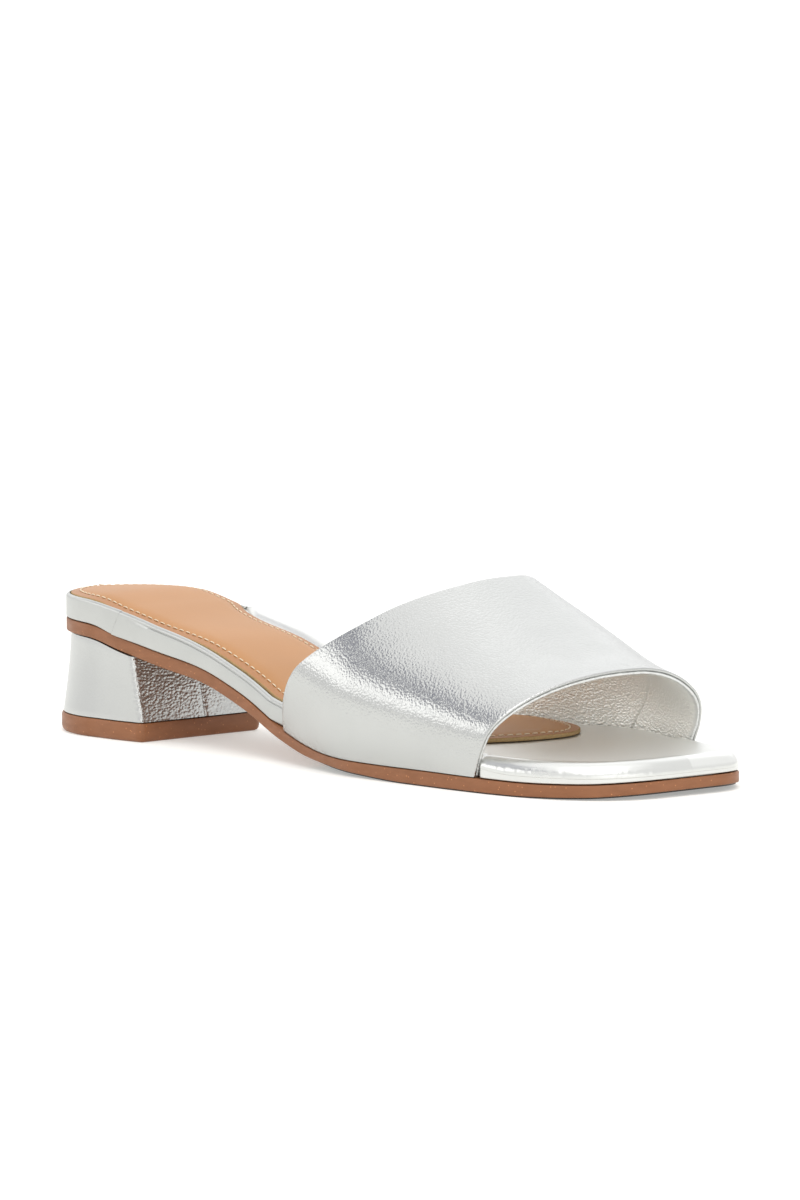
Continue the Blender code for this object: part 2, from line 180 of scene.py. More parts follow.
@dataclass
class Outline:
    """One side of a plan outline: points from the back forward, and their outward normals."""

    points: Points
    normals: Points

    @classmethod
    def through(cls, points: Points, flank: Flank) -> "Outline":
        """Makes an outline through plan points.

        Args:
            points: Points from the back forward, the first one shared with the other side.
            flank: Side of the shoe that they are on.

        Returns:
            The outline with its normals.
        """
        tangent = np.gradient(points, axis=0)
        tangent /= np.linalg.norm(tangent, axis=1)[:, None]
        normals = flank.value * np.stack([-tangent[:, 1], tangent[:, 0]], -1)
        normals[0] = (-1.0, 0.0)
        return cls(points, normals)

    def moved_in(self, distance: Points | float) -> Points:
        """Points moved inwards by a distance, which may differ from point to point."""
        return self.points - self.normals * np.broadcast_to(distance, len(self.points))[:, None]

    def lengths(self) -> Points:
        """Distance along the outline, from its first point."""
        return np.concatenate([[0], np.cumsum(np.hypot(*np.diff(self.points, axis=0).T))])

    def part(self, start: float, end: float, count: int, closer: float = 0.35) -> "Outline":
        """Cuts out and resamples a stretch of the outline.

        Args:
            start: Distance of its start along the outline.
            end: Distance of its end.
            count: Number of points.
            closer: How far the points crowd towards both ends, from 0 to 1.

        Returns:
            The stretch as an outline of its own.
        """
        run = self.lengths()
        even = np.linspace(0, 1, count)
        share = (1 - closer) * even + closer * (1 - np.cos(math.pi * even)) / 2
        at = start + (end - start) * share
        points = np.stack([np.interp(at, run, self.points[:, i]) for i in (0, 1)], -1)
        normals = np.stack([np.interp(at, run, self.normals[:, i]) for i in (0, 1)], -1)
        return Outline(points, normals / np.linalg.norm(normals, axis=1)[:, None])

    def calmed(self, reach: int) -> "Outline":
        """Evens out how the normals turn, so that a line moved far in doesn't fold.

        Args:
            reach: How many neighbours on each side count, fewer near the ends.

        Returns:
            The same points with their calmer normals.
        """
        last = len(self.points) - 1
        normals = np.zeros_like(self.normals)
        for k in range(last + 1):
            near = min(reach, k, last - k)
            normals[k] = self.normals[k - near : k + near + 1].mean(axis=0)
        return Outline(self.points, normals / np.linalg.norm(normals, axis=1)[:, None])


@dataclass(frozen=True)
class ShoeForm:
    """Sizes and tables of the shoe's form, as in the part's source, in metres."""

    length: float = 0.245
    ball_width: float = 0.0800
    toe_width: float = 0.0725
    heel_round: float = 0.0290
    toe_start: float = 0.86
    seat_height: float = 0.0294
    toe_spring: float = 0.0017
    sole_thickness: float = 0.0044
    board_thickness: float = 0.0060
    clearance: float = 0.0003
    instep_height: float = 0.0480
    outer_bulge: float = 0.0048
    inner_bulge: float = 0.0012
    band_inset: float = 0.0002
    foot_share: float = 0.15
    front_round: tuple[float, float, float] = (0.38, 0.54, 0.70)
    heel_steps: int = 240
    side_steps: int = 2400
    toe_steps: int = 400
    front_steps: int = 60
    toe_corners: tuple[Row, Row] = ((0.978, 0.382), (1.000, -0.443))
    plan: tuple[Row, ...] = (
        (0.12, 0.0475, 0.514, 0.462),
        (0.17, 0.0475, 0.530, 0.463),
        (0.22, 0.0475, 0.524, 0.415),
        (0.28, 0.0430, 0.570, 0.421),
        (0.40, 0.0430, 0.607, 0.400),
        (0.52, 0.0430, 0.726, 0.595),
        (0.62, 0.0800, 0.446, 0.432),
        (0.68, 0.0800, 0.446, 0.515),
        (0.73, 0.0800, 0.445, 0.550),
        (0.77, 0.0800, 0.443, 0.545),
        (0.82, 0.0800, 0.435, 0.515),
        (0.86, 0.0725, 0.463, 0.538),
    )
    side: tuple[Row, ...] = (
        (0.00, 1.000, 0.00, 0.97, 0.90),
        (0.10, 0.982, 0.00, 0.97, 0.91),
        (0.17, 0.880, 0.00, 0.98, 0.90),
        (0.24, 0.762, 0.00, 1.00, 0.84),
        (0.31, 0.664, 0.00, 0.92, 0.85),
        (0.38, 0.484, 0.00, 0.84, 0.88),
        (0.46, 0.230, 0.00, 0.72, 0.94),
        (0.54, 0.084, 0.00, 0.64, 1.07),
        (0.62, 0.027, 0.00, 0.80, 1.05),
        (0.70, 0.000, 0.00, 1.00, 0.98),
        (0.80, 0.000, 0.00, 1.05, 0.97),
        (0.86, 0.000, 0.00, 1.05, 0.92),
        (0.94, 0.000, 0.24, 1.02, 0.87),
        (1.00, 0.000, 1.00, 0.95, 0.80),
    )
    cover_drop: tuple[Row, ...] = (
        (0.00, 0.00050),
        (0.17, 0.00050),
        (0.24, 0.00040),
        (0.31, 0.00020),
        (0.38, 0.00000),
        (0.60, 0.00000),
        (0.70, 0.00020),
        (0.80, 0.00055),
        (0.90, 0.00080),
        (1.00, 0.00080),
    )
    sections: tuple[Row, ...] = (
        (0.45, 1.63, -0.320, 1.33, 1.15, 0.325, 0.33, 0.58),
        (0.55, 1.30, -0.275, 1.00, 0.97, 0.322, 0.38, 0.57),
        (0.65, 1.04, -0.235, 0.70, 0.78, 0.318, 0.44, 0.56),
        (0.75, 0.79, -0.200, 0.37, 0.58, 0.312, 0.49, 0.55),
        (0.83, 0.63, -0.170, 0.13, 0.43, 0.306, 0.53, 0.54),
        (0.90, 0.54, -0.140, 0.00, 0.30, 0.300, 0.56, 0.53),
    )

    def half_width(self, along: Points, flank: Flank) -> Points:
        """Half of the sole's width on one side, at places along it."""
        return smooth(self.plan, 2 if flank is Flank.OUTER else 3, along / self.length, of_width=1)

    def underside(self, along: Points | float) -> Points:
        """Height of the sole's underside."""
        share = np.asarray(along) / self.length
        return self.seat_height * smooth(self.side, 1, share) + self.toe_spring * smooth(self.side, 2, share)

    def sole_top(self, along: Points | float) -> Points:
        """Height of the sole's upper face.

        Args:
            along: Places along the sole.

        Returns:
            The height there.
        """
        return self.underside(along) + self.sole_thickness * smooth(
            self.side, 3, np.asarray(along) / self.length
        )

    def joint_height(self, along: Points | float) -> Points:
        """Height at which the covers end on the sole's side, a little under the sole's solid top."""
        return self.sole_top(along) - smooth(self.cover_drop, 1, np.asarray(along) / self.length)

    def board_top(self, along: Points | float) -> Points:
        """Height of the board's upper face.

        Args:
            along: Places along the sole.

        Returns:
            The height there.
        """
        return self.sole_top(along) + self.board_thickness * smooth(
            self.side, 4, np.asarray(along) / self.length
        )

    def outline(self, flank: Flank) -> Outline:
        """Fine outline of one side of the sole, from the heel's back to the toe's front.

        Args:
            flank: Side of the shoe.

        Returns:
            The outline, without the board or the band.
        """
        way = flank.value
        turn = np.linspace(0, math.pi / 2, self.heel_steps)
        width = self.half_width(np.array([self.heel_round]), flank)[0]
        heel = np.stack([self.heel_round * (1 - np.cos(turn)), way * width * np.sin(turn)], -1)
        along = np.linspace(self.heel_round, self.toe_start * self.length, self.side_steps)[1:]
        middle = np.stack([along, way * self.half_width(along, flank)], -1)
        corners = [np.array([a * self.length, s * self.toe_width]) for a, s in self.toe_corners]
        across = corners[1] - corners[0]
        reach = self.front_round[0] if flank is Flank.OUTER else self.front_round[2]
        corner = corners[0] if flank is Flank.OUTER else corners[1]
        start, end = middle[-1], corners[0] + across * reach
        t = np.linspace(0, 1, self.toe_steps)[:, None]
        toe = start * (1 - t) ** 2 + 2 * corner * t * (1 - t) + end * t * t
        front = corners[0] + across * self.front_round[1]
        last = np.linspace(end, front, self.front_steps)[1:]
        return Outline.through(np.concatenate([heel, middle, toe[1:], last]), flank)

    def band_surface(self, along: Points, girth: Points) -> Points:
        """Points of the band's outer face.

        Args:
            along: Places along the sole.
            girth: Shares of the way over, from the outer foot to the inner foot.

        Returns:
            Points (along, side, height), with one more axis than the arguments.
        """
        share = along / self.length
        tall, lean, out_bulge, in_bulge, steep, out_full, in_full = (
            smooth(self.sections, column, share) for column in range(1, len(self.sections[0]))
        )
        outer = girth < 0.5
        way = np.where(outer, 1.0, -1.0)
        half = np.where(outer, self.half_width(along, Flank.OUTER), self.half_width(along, Flank.INNER))
        foot = way * (half - self.band_inset)
        bulge = way * np.where(outer, out_bulge * self.outer_bulge, in_bulge * self.inner_bulge)
        height = self.instep_height * tall
        centre = self.ball_width * lean
        rise = steep * height
        low = np.minimum(girth, 1 - girth) / self.foot_share
        reach = np.clip(low, 0, 1)
        floor = self.joint_height(along) * (1 - reach) + self.sole_top(along) * reach + self.clearance
        t = np.clip((np.minimum(girth, 1 - girth) - self.foot_share) / (0.5 - self.foot_share), 0, 1)
        full = np.where(outer, out_full, in_full)
        leaving, arriving = 3 * t * (1 - t) ** 2, 3 * t * t * (1 - t)
        out = (1 - t) ** 3 + leaving + arriving * full
        up = leaving * full + arriving + t**3
        in_foot = low < 1
        side = np.where(in_foot, foot + bulge * (1 - (1 - low) ** 2), centre + (foot + bulge - centre) * out)
        lift = np.where(in_foot, rise * low, rise + (height - rise) * up)
        return np.stack([along, side, floor + lift], -1)


@dataclass(frozen=True)
class Placement:
    """Where the shoe's coordinates lie in the row frame."""

    x_centre: float
    y_back: float

    @classmethod
    def from_frame(cls, form: ShoeForm) -> "Placement":
        """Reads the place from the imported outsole, whose outline the form gives.

        Args:
            form: The shoe's form.

        Returns:
            The place.
        """
        low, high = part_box("outsole")
        farthest = form.outline(Flank.OUTER).points[:, 1].max()
        return cls(x_centre=low[0] + farthest, y_back=high[1])

    def world(self, points: Points) -> list[tuple[float, float, float]]:
        """Row-frame points from (along, side, height) points."""
        return [(self.x_centre - s, self.y_back - a, h) for a, s, h in points]


@dataclass
class Shell:
    """Points and faces of one piece, with numbers that its finish reads at each point."""

    points: list[Row] = field(default_factory=list)
    faces: list[tuple[int, ...]] = field(default_factory=list)
    marks: dict[str, list[float]] = field(default_factory=dict)

    def add(self, point: Sequence[float], **marks: float) -> int:
        """Adds a point.

        Args:
            point: (along, side, height).
            **marks: Numbers for the finish at that point.

        Returns:
            Its index.
        """
        for name, value in marks.items():
            self.marks.setdefault(name, [0.0] * len(self.points)).append(float(value))
        self.points.append(tuple(float(v) for v in point))
        for name in self.marks.keys() - marks.keys():
            self.marks[name].append(0.0)
        return len(self.points) - 1

    def piece(
        self, name: str, place: Placement, finish: bpy.types.Material, sharp: float = 50
    ) -> bpy.types.Object:
        """Makes the object, with its faces turned outwards.

        Args:
            name: The piece's name.
            place: Where the shoe lies in the row frame.
            finish: Its material.
            sharp: Angle in degrees past which an edge is left sharp.

        Returns:
            The object, linked to the scene.
        """
        mesh = bpy.data.meshes.new(name)
        mesh.from_pydata(place.world(self.points), [], self.faces)
        for key, values in self.marks.items():
            layer = mesh.attributes.new(key, "FLOAT", "POINT")
            layer.data.foreach_set("value", values)
        work = bmesh.new()
        work.from_mesh(mesh)
        bmesh.ops.recalc_face_normals(work, faces=work.faces)
        if work.calc_volume(signed=True) < 0:
            bmesh.ops.reverse_faces(work, faces=work.faces)
        work.to_mesh(mesh)
        work.free()
        mesh.shade_smooth()
        mesh.set_sharp_from_angle(angle=math.radians(sharp))
        mesh.materials.append(finish)
        return linked(name, mesh)


@dataclass
class Level:
    """One loop of a ribbed shell, as its two sides, with marks for its points."""

    outer: Points
    inner: Points
    marks: dict[str, tuple[Points, Points]] = field(default_factory=dict)


@dataclass
class RibbedShell:
    """Closed form from matching loops, bottom to top, whose ends are filled with ribs.

    A rib joins the points of the two sides that lie across from each other. The form may
    start or end in one shared point, or in a blunt face across the shoe.
    """

    levels: list[Level]
    bottom: HeightAt
    top: HeightAt
    across: int = 14
    pointed_start: bool = True
    pointed_end: bool = True

    def build(self) -> Shell:
        """Builds the points and faces.

        Returns:
            The closed shell.
        """
        shell = Shell()
        count = len(self.levels[0].outer)
        index = np.zeros((len(self.levels), 2, count), int)
        for number, level in enumerate(self.levels):
            for which, line in enumerate((level.outer, level.inner)):
                for k in range(count):
                    shared = (k == 0 and self.pointed_start) or (k == count - 1 and self.pointed_end)
                    if which == 1 and shared:
                        index[number, 1, k] = index[number, 0, k]
                    else:
                        marks = {name: values[which][k] for name, values in level.marks.items()}
                        index[number, which, k] = shell.add(line[k], **marks)
        for number in range(len(self.levels) - 1):
            for which in (0, 1):
                low, high = index[number, which], index[number + 1, which]
                for k in range(count - 1):
                    shell.faces.append((low[k], low[k + 1], high[k + 1], high[k]))
        ends = []
        for number, height in ((0, self.bottom), (len(self.levels) - 1, self.top)):
            ribs = self._ribs(shell, index[number], height, self.levels[number])
            ends.append(ribs)
            for near, far in zip(ribs, ribs[1:]):
                if len(near) == 1:
                    shell.faces += [(near[0], far[i], far[i + 1]) for i in range(len(far) - 1)]
                elif len(far) == 1:
                    shell.faces += [(near[i], far[0], near[i + 1]) for i in range(len(near) - 1)]
                else:
                    shell.faces += [
                        (near[i], far[i], far[i + 1], near[i + 1]) for i in range(len(near) - 1)
                    ]
        for k, pointed in ((0, self.pointed_start), (count - 1, self.pointed_end)):
            if not pointed:
                inner = [int(i) for i in index[1:-1, 1, k]]
                outer = [int(i) for i in index[1:-1, 0, k]]
                shell.faces.append(tuple(ends[0][k] + inner + ends[1][k][::-1] + outer[::-1]))
        return shell

    def _ribs(self, shell: Shell, loop: Points, height: HeightAt, level: Level) -> list[list[int]]:
        """Ribs across one end of the form.

        Args:
            shell: Shell that takes the new points.
            loop: Indices of the end loop, outer and inner side.
            height: Height of the filling from (along, side, share of the way across).
            level: The end loop itself.

        Returns:
            Point indices of each rib, from the outer side to the inner.
        """
        share = np.arange(1, self.across) / self.across
        along, side = (
            level.outer[:, None, i] + (level.inner - level.outer)[:, None, i] * share for i in (0, 1)
        )
        heights = np.broadcast_to(height(along, side, np.broadcast_to(share, along.shape)), along.shape)
        ribs = []
        for k in range(loop.shape[1]):
            first, last = int(loop[0, k]), int(loop[1, k])
            if first == last:
                ribs.append([first])
                continue
            rib = [first]
            for cell, part in enumerate(share):
                marks = {n: v[0][k] + (v[1][k] - v[0][k]) * part for n, v in level.marks.items()}
                rib.append(shell.add((along[k, cell], side[k, cell], heights[k, cell]), **marks))
            ribs.append(rib + [last])
        return ribs


@dataclass
class Wiring:
    """Short way to add and link shader nodes of one material."""

    material: bpy.types.Material

    @classmethod
    def start(cls, name: str) -> "Wiring":
        """Makes an empty node material.

        Args:
            name: The material's name.

        Returns:
            The wiring to fill it with.
        """
        made = bpy.data.materials.new(name)
        made.use_nodes = True
        return cls(made)

    @property
    def shader(self) -> bpy.types.Node:
        """The Principled shader."""
        return self.material.node_tree.nodes["Principled BSDF"]

    def node(
        self, kind: str, inputs: dict[str | int, object] | None = None, **settings: object
    ) -> bpy.types.Node:
        """Adds a node.

        Args:
            kind: Blender's node type.
            inputs: Values or sockets for its inputs, by name or number.
            **settings: Properties of the node itself.

        Returns:
            The node.
        """
        made = self.material.node_tree.nodes.new(kind)
        for key, value in settings.items():
            setattr(made, key, value)
        for key, value in (inputs or {}).items():
            if isinstance(value, bpy.types.NodeSocket):
                self.material.node_tree.links.new(value, made.inputs[key])
            else:
                made.inputs[key].default_value = value
        return made

    def math(self, operation: str, first: object, second: object) -> bpy.types.NodeSocket:
        """Output of a Math node on two values or sockets."""
        return self.node("ShaderNodeMath", {0: first, 1: second}, operation=operation).outputs[0]

    def mix(self, share: object, first: object, second: object) -> bpy.types.NodeSocket:
        """Colour between two, by a share."""
        return self.node("ShaderNodeMix", {0: share, 6: first, 7: second}, data_type="RGBA").outputs[2]

    def cells(self, at: object, scale: float, softness: float | None = None) -> bpy.types.NodeSocket:
        """Distance from the middle of the nearest cell, soft between cells where a softness is given.

        Args:
            at: Coordinates to read.
            scale: Cells to a metre.
            softness: How softly one cell runs into the next, or None for none.

        Returns:
            The distance, in cells.
        """
        inputs = {"Vector": at, "Scale": scale}
        if softness is None:
            return self.node("ShaderNodeTexVoronoi", inputs, feature="F1").outputs["Distance"]
        inputs["Smoothness"] = softness
        return self.node("ShaderNodeTexVoronoi", inputs, feature="SMOOTH_F1").outputs["Distance"]

    def plug(self, **sockets: object) -> None:
        """Sets or links inputs of the shader, their names with underscores for spaces.

        Args:
            **sockets: Value or socket for each input.
        """
        for name, value in sockets.items():
            at = self.shader.inputs[name.replace("_", " ")]
            if isinstance(value, bpy.types.NodeSocket):
                self.material.node_tree.links.new(value, at)
            else:
                at.default_value = value

    def ramp(
        self, value: object, low: float, high: float, start: float = 0.0, end: float = 1.0
    ) -> bpy.types.NodeSocket:
        """Value mapped from one range to another, clamped."""
        inputs = {"Value": value, "From Min": low, "From Max": high, "To Min": start, "To Max": end}
        return self.node("ShaderNodeMapRange", inputs).outputs[0]

    def mark(self, name: str) -> bpy.types.NodeSocket:
        """A number that the mesh holds at each point."""
        return self.node("ShaderNodeAttribute", attribute_name=name).outputs["Fac"]

    def place(self) -> bpy.types.NodeSocket:
        """Object coordinates, in metres."""
        return self.node("ShaderNodeTexCoord").outputs["Object"]

    def noise(
        self, size: float, detail: float = 2.0, stretch: Row = (1.0, 1.0, 1.0), at: object = None
    ) -> bpy.types.NodeSocket:
        """Noise whose features have a size in metres.

        Args:
            size: Size of its features.
            detail: Levels of finer noise.
            stretch: Scale of the coordinates along each axis.
            at: Coordinates to read, in place of the object's own.

        Returns:
            Value from about 0 to 1.
        """
        where = self.node("ShaderNodeMapping", {"Vector": at or self.place(), "Scale": stretch}).outputs[0]
        inputs = {"Vector": where, "Scale": 1 / size, "Detail": detail}
        return self.node("ShaderNodeTexNoise", inputs).outputs[0]

    def relief(self, height: object, depth: float, under: object = None) -> bpy.types.NodeSocket:
        """Normal of a relief.

        Args:
            height: Height from 0 to 1.
            depth: Depth in metres of the whole range.
            under: Normal of a coarser relief below it.

        Returns:
            The new normal.
        """
        inputs: dict[str | int, object] = {"Height": height, "Distance": depth, "Strength": 1.0}
        if under is not None:
            inputs["Normal"] = under
        return self.node("ShaderNodeBump", inputs).outputs[0]


@dataclass(frozen=True)
class SilverLeather:
    """Foiled leather: pebbles of grain under a metal film, worn a little duller in patches."""

    name: str
    tint: Row = (0.525, 0.53, 0.52)
    gloss: float = 0.30
    pebble: float = 0.00075
    grain_depth: float = 0.00007
    crinkle: float = 0.0
    crinkle_size: float = 0.0022
    metal: float = 1.0
    smooth_mark: str | None = None
    crinkle_mark: str | None = None
    wrinkle_mark: str | None = None
    # Mark and colour that take the place of the tint where the mark is set: on the board a painted highlight,
    # paler where light falls; on the lining the rim's plainer silver.
    bright_mark: str | None = None
    bright: Row = (0.75, 0.755, 0.735)
    bend: float = 0.00035
    bend_scale: float = 900.0
    pebble_softness: float = 0.55
    pebble_edges: tuple[float, float] = (0.15, 0.85)
    pebble_share: float = 0.75
    fine_share: float = 0.45
    crinkle_softness: float = 0.35
    crinkle_edges: tuple[float, float] = (0.1, 0.8)
    crinkle_stretch: Row = (1.0, 1.0, 1.5)
    wrinkle_size: float = 0.0022
    wrinkle_stretch: Row = (1.0, 1.0, 0.25)
    wrinkle_depth: float = 0.00035
    cloud_size: float = 0.02
    cloud_gloss: float = 0.06
    cloud_tone: float = 0.95
    smooth_gloss: float = 0.72

    def bent_place(self, wire: Wiring) -> bpy.types.NodeSocket:
        """Object coordinates, bent a little so that no cell has a straight side.

        Args:
            wire: Wiring of the material.

        Returns:
            The coordinates.
        """
        place = wire.place()
        noise = wire.node("ShaderNodeTexNoise", {"Vector": place, "Scale": self.bend_scale})
        moved = wire.node(
            "ShaderNodeVectorMath", {0: noise.outputs["Color"], 1: (self.bend,) * 3}, operation="MULTIPLY"
        )
        return wire.node("ShaderNodeVectorMath", {0: place, 1: moved.outputs[0]}, operation="ADD").outputs[0]

    def grain(self, wire: Wiring, place: bpy.types.NodeSocket) -> bpy.types.NodeSocket:
        """Height of the pebbles with the finer grain between them.

        Args:
            wire: Wiring of the material.
            place: Coordinates to read.

        Returns:
            The height, from 0 to 1.
        """
        cells = wire.cells(place, 1 / self.pebble, self.pebble_softness)
        pebbles = wire.ramp(cells, *self.pebble_edges, 1.0, 0.0)
        fine = wire.noise(self.pebble * self.fine_share)
        return wire.math(
            "ADD",
            wire.math("MULTIPLY", pebbles, self.pebble_share),
            wire.math("MULTIPLY", fine, 1 - self.pebble_share),
        )

    def crinkles(self, wire: Wiring, place: bpy.types.NodeSocket) -> bpy.types.NodeSocket:
        """Normal of the coarse crinkles, only where their mark says so.

        Args:
            wire: Wiring of the material.
            place: Coordinates to read.

        Returns:
            The normal.
        """
        stretched = wire.node("ShaderNodeMapping", {"Vector": place, "Scale": self.crinkle_stretch})
        folds = wire.cells(stretched.outputs[0], 1 / self.crinkle_size, self.crinkle_softness)
        ridged = wire.ramp(folds, *self.crinkle_edges, 1.0, 0.0)
        if self.crinkle_mark:
            ridged = wire.math("MULTIPLY", ridged, wire.mark(self.crinkle_mark))
        return wire.relief(ridged, self.crinkle)

    def wrinkles(self, wire: Wiring, place: bpy.types.NodeSocket) -> bpy.types.NodeSocket:
        """Normal of the drawn wrinkles where the leather is pulled over an edge.

        Args:
            wire: Wiring of the material.
            place: Coordinates to read.

        Returns:
            The normal.
        """
        drawn = wire.noise(self.wrinkle_size, stretch=self.wrinkle_stretch, at=place)
        return wire.relief(wire.math("MULTIPLY", drawn, wire.mark(self.wrinkle_mark)), self.wrinkle_depth)

    def material(self) -> bpy.types.Material:
        """Builds the finish.

        Returns:
            The material.
        """
        wire = Wiring.start(self.name)
        place = self.bent_place(wire)
        height = self.grain(wire, place)
        coarse = self.crinkles(wire, place) if self.crinkle else None
        if self.wrinkle_mark:
            coarse = self.wrinkles(wire, place)
        clouds = wire.noise(self.cloud_size, 3.0)
        roughness = wire.math("ADD", wire.math("MULTIPLY", clouds, self.cloud_gloss), self.gloss)
        if self.smooth_mark:
            flat = wire.mark(self.smooth_mark)
            height = wire.math("MULTIPLY", height, wire.math("SUBTRACT", 1.0, flat))
            roughness = wire.math("MULTIPLY", roughness, wire.ramp(flat, 0.0, 1.0, 1.0, self.smooth_gloss))
        worn = solid_colour(self.tint, self.cloud_tone)
        colour = wire.mix(wire.ramp(clouds, *CLOUDS), solid_colour(self.tint), worn)
        # Where the mark is set, the tint is mixed towards the second colour: a painted highlight on the
        # board, plainer silver on the lining's rim.
        if self.bright_mark:
            colour = wire.mix(wire.mark(self.bright_mark), colour, solid_colour(self.bright))
        wire.plug(
            Base_Color=colour,
            Roughness=roughness,
            Normal=wire.relief(height, self.grain_depth, coarse),
            Metallic=self.metal,
        )
        return wire.material


@dataclass(frozen=True)
class TanLeather:
    """Smooth sock leather, with a faint grain, warmer at its stitched margin, raw at its edge."""

    name: str
    face: Row = (0.420, 0.202, 0.076)
    margin: Row = (0.385, 0.178, 0.072)
    raw: Row = (0.285, 0.192, 0.090)
    cloud_size: float = 0.03
    cloud_tone: float = 1.07
    fibre_size: float = 0.0005
    fibre_tone: float = 1.5
    grain_size: float = 0.0004
    pore_scale: float = 1500.0
    grain_depth: float = 0.00002
    face_gloss: float = 0.46
    raw_gloss: float = 0.9
    specular: float = 0.33

    def material(self) -> bpy.types.Material:
        """Builds the finish.

        Returns:
            The material.
        """
        wire = Wiring.start(self.name)
        clouds = wire.ramp(wire.noise(self.cloud_size, 3.0), *CLOUDS)
        face = wire.mix(clouds, solid_colour(self.face), solid_colour(self.face, self.cloud_tone))
        face = wire.mix(wire.mark("margin"), face, solid_colour(self.margin))
        fibres = wire.ramp(wire.noise(self.fibre_size, 4.0), *CLOUDS)
        raw = wire.mix(fibres, solid_colour(self.raw), solid_colour(self.raw, self.fibre_tone))
        grain = wire.noise(self.grain_size, 3.0)
        pores = wire.cells(wire.place(), self.pore_scale)
        height = wire.math("ADD", wire.math("MULTIPLY", grain, 0.5), wire.math("MULTIPLY", pores, 0.5))
        wire.plug(
            Base_Color=wire.mix(wire.mark("raw"), face, raw),
            Normal=wire.relief(height, self.grain_depth),
            Roughness=wire.ramp(wire.mark("raw"), 0.0, 1.0, self.face_gloss, self.raw_gloss),
            Specular_IOR_Level=self.specular,
        )
        return wire.material


@dataclass(frozen=True)
class BrownSole:
    """Brown sole edge and wearing piece: satin, with a fine speckle and a trimmed side."""

    name: str
    colour: Row = (0.262, 0.104, 0.043)
    cloud_size: float = 0.006
    cloud_stretch: Row = (1.0, 1.0, 3.0)
    cloud_tone: float = 0.84
    speck_scale: float = 700.0
    speck_edges: tuple[float, float] = (0.16, 0.08)
    speck_tone: float = 1.9
    trim_size: float = 0.0008
    trim_stretch: Row = (1.0, 1.0, 2.5)
    trim_depth: float = 0.00005
    gloss: tuple[float, float] = (0.42, 0.56)
    specular: float = 0.35

    def material(self) -> bpy.types.Material:
        """Builds the finish.

        Returns:
            The material.
        """
        wire = Wiring.start(self.name)
        clouds = wire.ramp(wire.noise(self.cloud_size, 4.0, self.cloud_stretch), *CLOUDS)
        colour = wire.mix(clouds, solid_colour(self.colour), solid_colour(self.colour, self.cloud_tone))
        specks = wire.ramp(wire.cells(wire.place(), self.speck_scale), *self.speck_edges)
        trimmed = wire.noise(self.trim_size, 3.0, self.trim_stretch)
        wire.plug(
            Base_Color=wire.mix(specks, colour, solid_colour(self.colour, self.speck_tone)),
            Normal=wire.relief(trimmed, self.trim_depth),
            Roughness=wire.ramp(clouds, 0.0, 1.0, *self.gloss),
            Specular_IOR_Level=self.specular,
        )
        return wire.material


@dataclass(frozen=True)
class Thread:
    """Waxed cream thread with the twist of its plies."""

    name: str
    colour: Row = (0.76, 0.62, 0.44)
    ply_size: float = 0.0003
    ply_tone: float = 0.8
    ply_depth: float = 0.00005
    gloss: float = 0.6

    def material(self) -> bpy.types.Material:
        """Builds the finish.

        Returns:
            The material.
        """
        wire = Wiring.start(self.name)
        plies = wire.noise(self.ply_size, 1.0)
        wire.plug(
            Base_Color=wire.mix(plies, solid_colour(self.colour, self.ply_tone), solid_colour(self.colour)),
            Normal=wire.relief(plies, self.ply_depth),
            Roughness=self.gloss,
        )
        return wire.material


@dataclass(frozen=True)
class Paper:
    """Matt studio paper, which may be lit a little from below."""

    name: str
    colour: Row
    glow: float = 0.0
    glow_tint: Row = (1.0, 1.0, 0.97)
    gloss: float = 0.9
    specular: float = 0.1

    def material(self) -> bpy.types.Material:
        """Builds the finish.

        Returns:
            The material.
        """
        wire = Wiring.start(self.name)
        wire.plug(
            Base_Color=solid_colour(self.colour),
            Emission_Color=solid_colour(self.glow_tint),
            Emission_Strength=self.glow,
            Roughness=self.gloss,
            Specular_IOR_Level=self.specular,
        )
        return wire.material


def dress(piece: bpy.types.Object, slot: Slot, *nodes: str) -> bpy.types.Object:
    """Attaches a piece to the body, and hides the CAD nodes that it stands for.

    Args:
        piece: The finished piece.
        slot: Material slot that it would take its finish from; not used.
        *nodes: CAD nodes that it stands for.

    Returns:
        The piece.
    """
    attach(piece, BODY)
    if nodes:
        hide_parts(*nodes)
    LOG.info("%s: %d faces", piece.name, len(piece.data.polygons))
    return piece


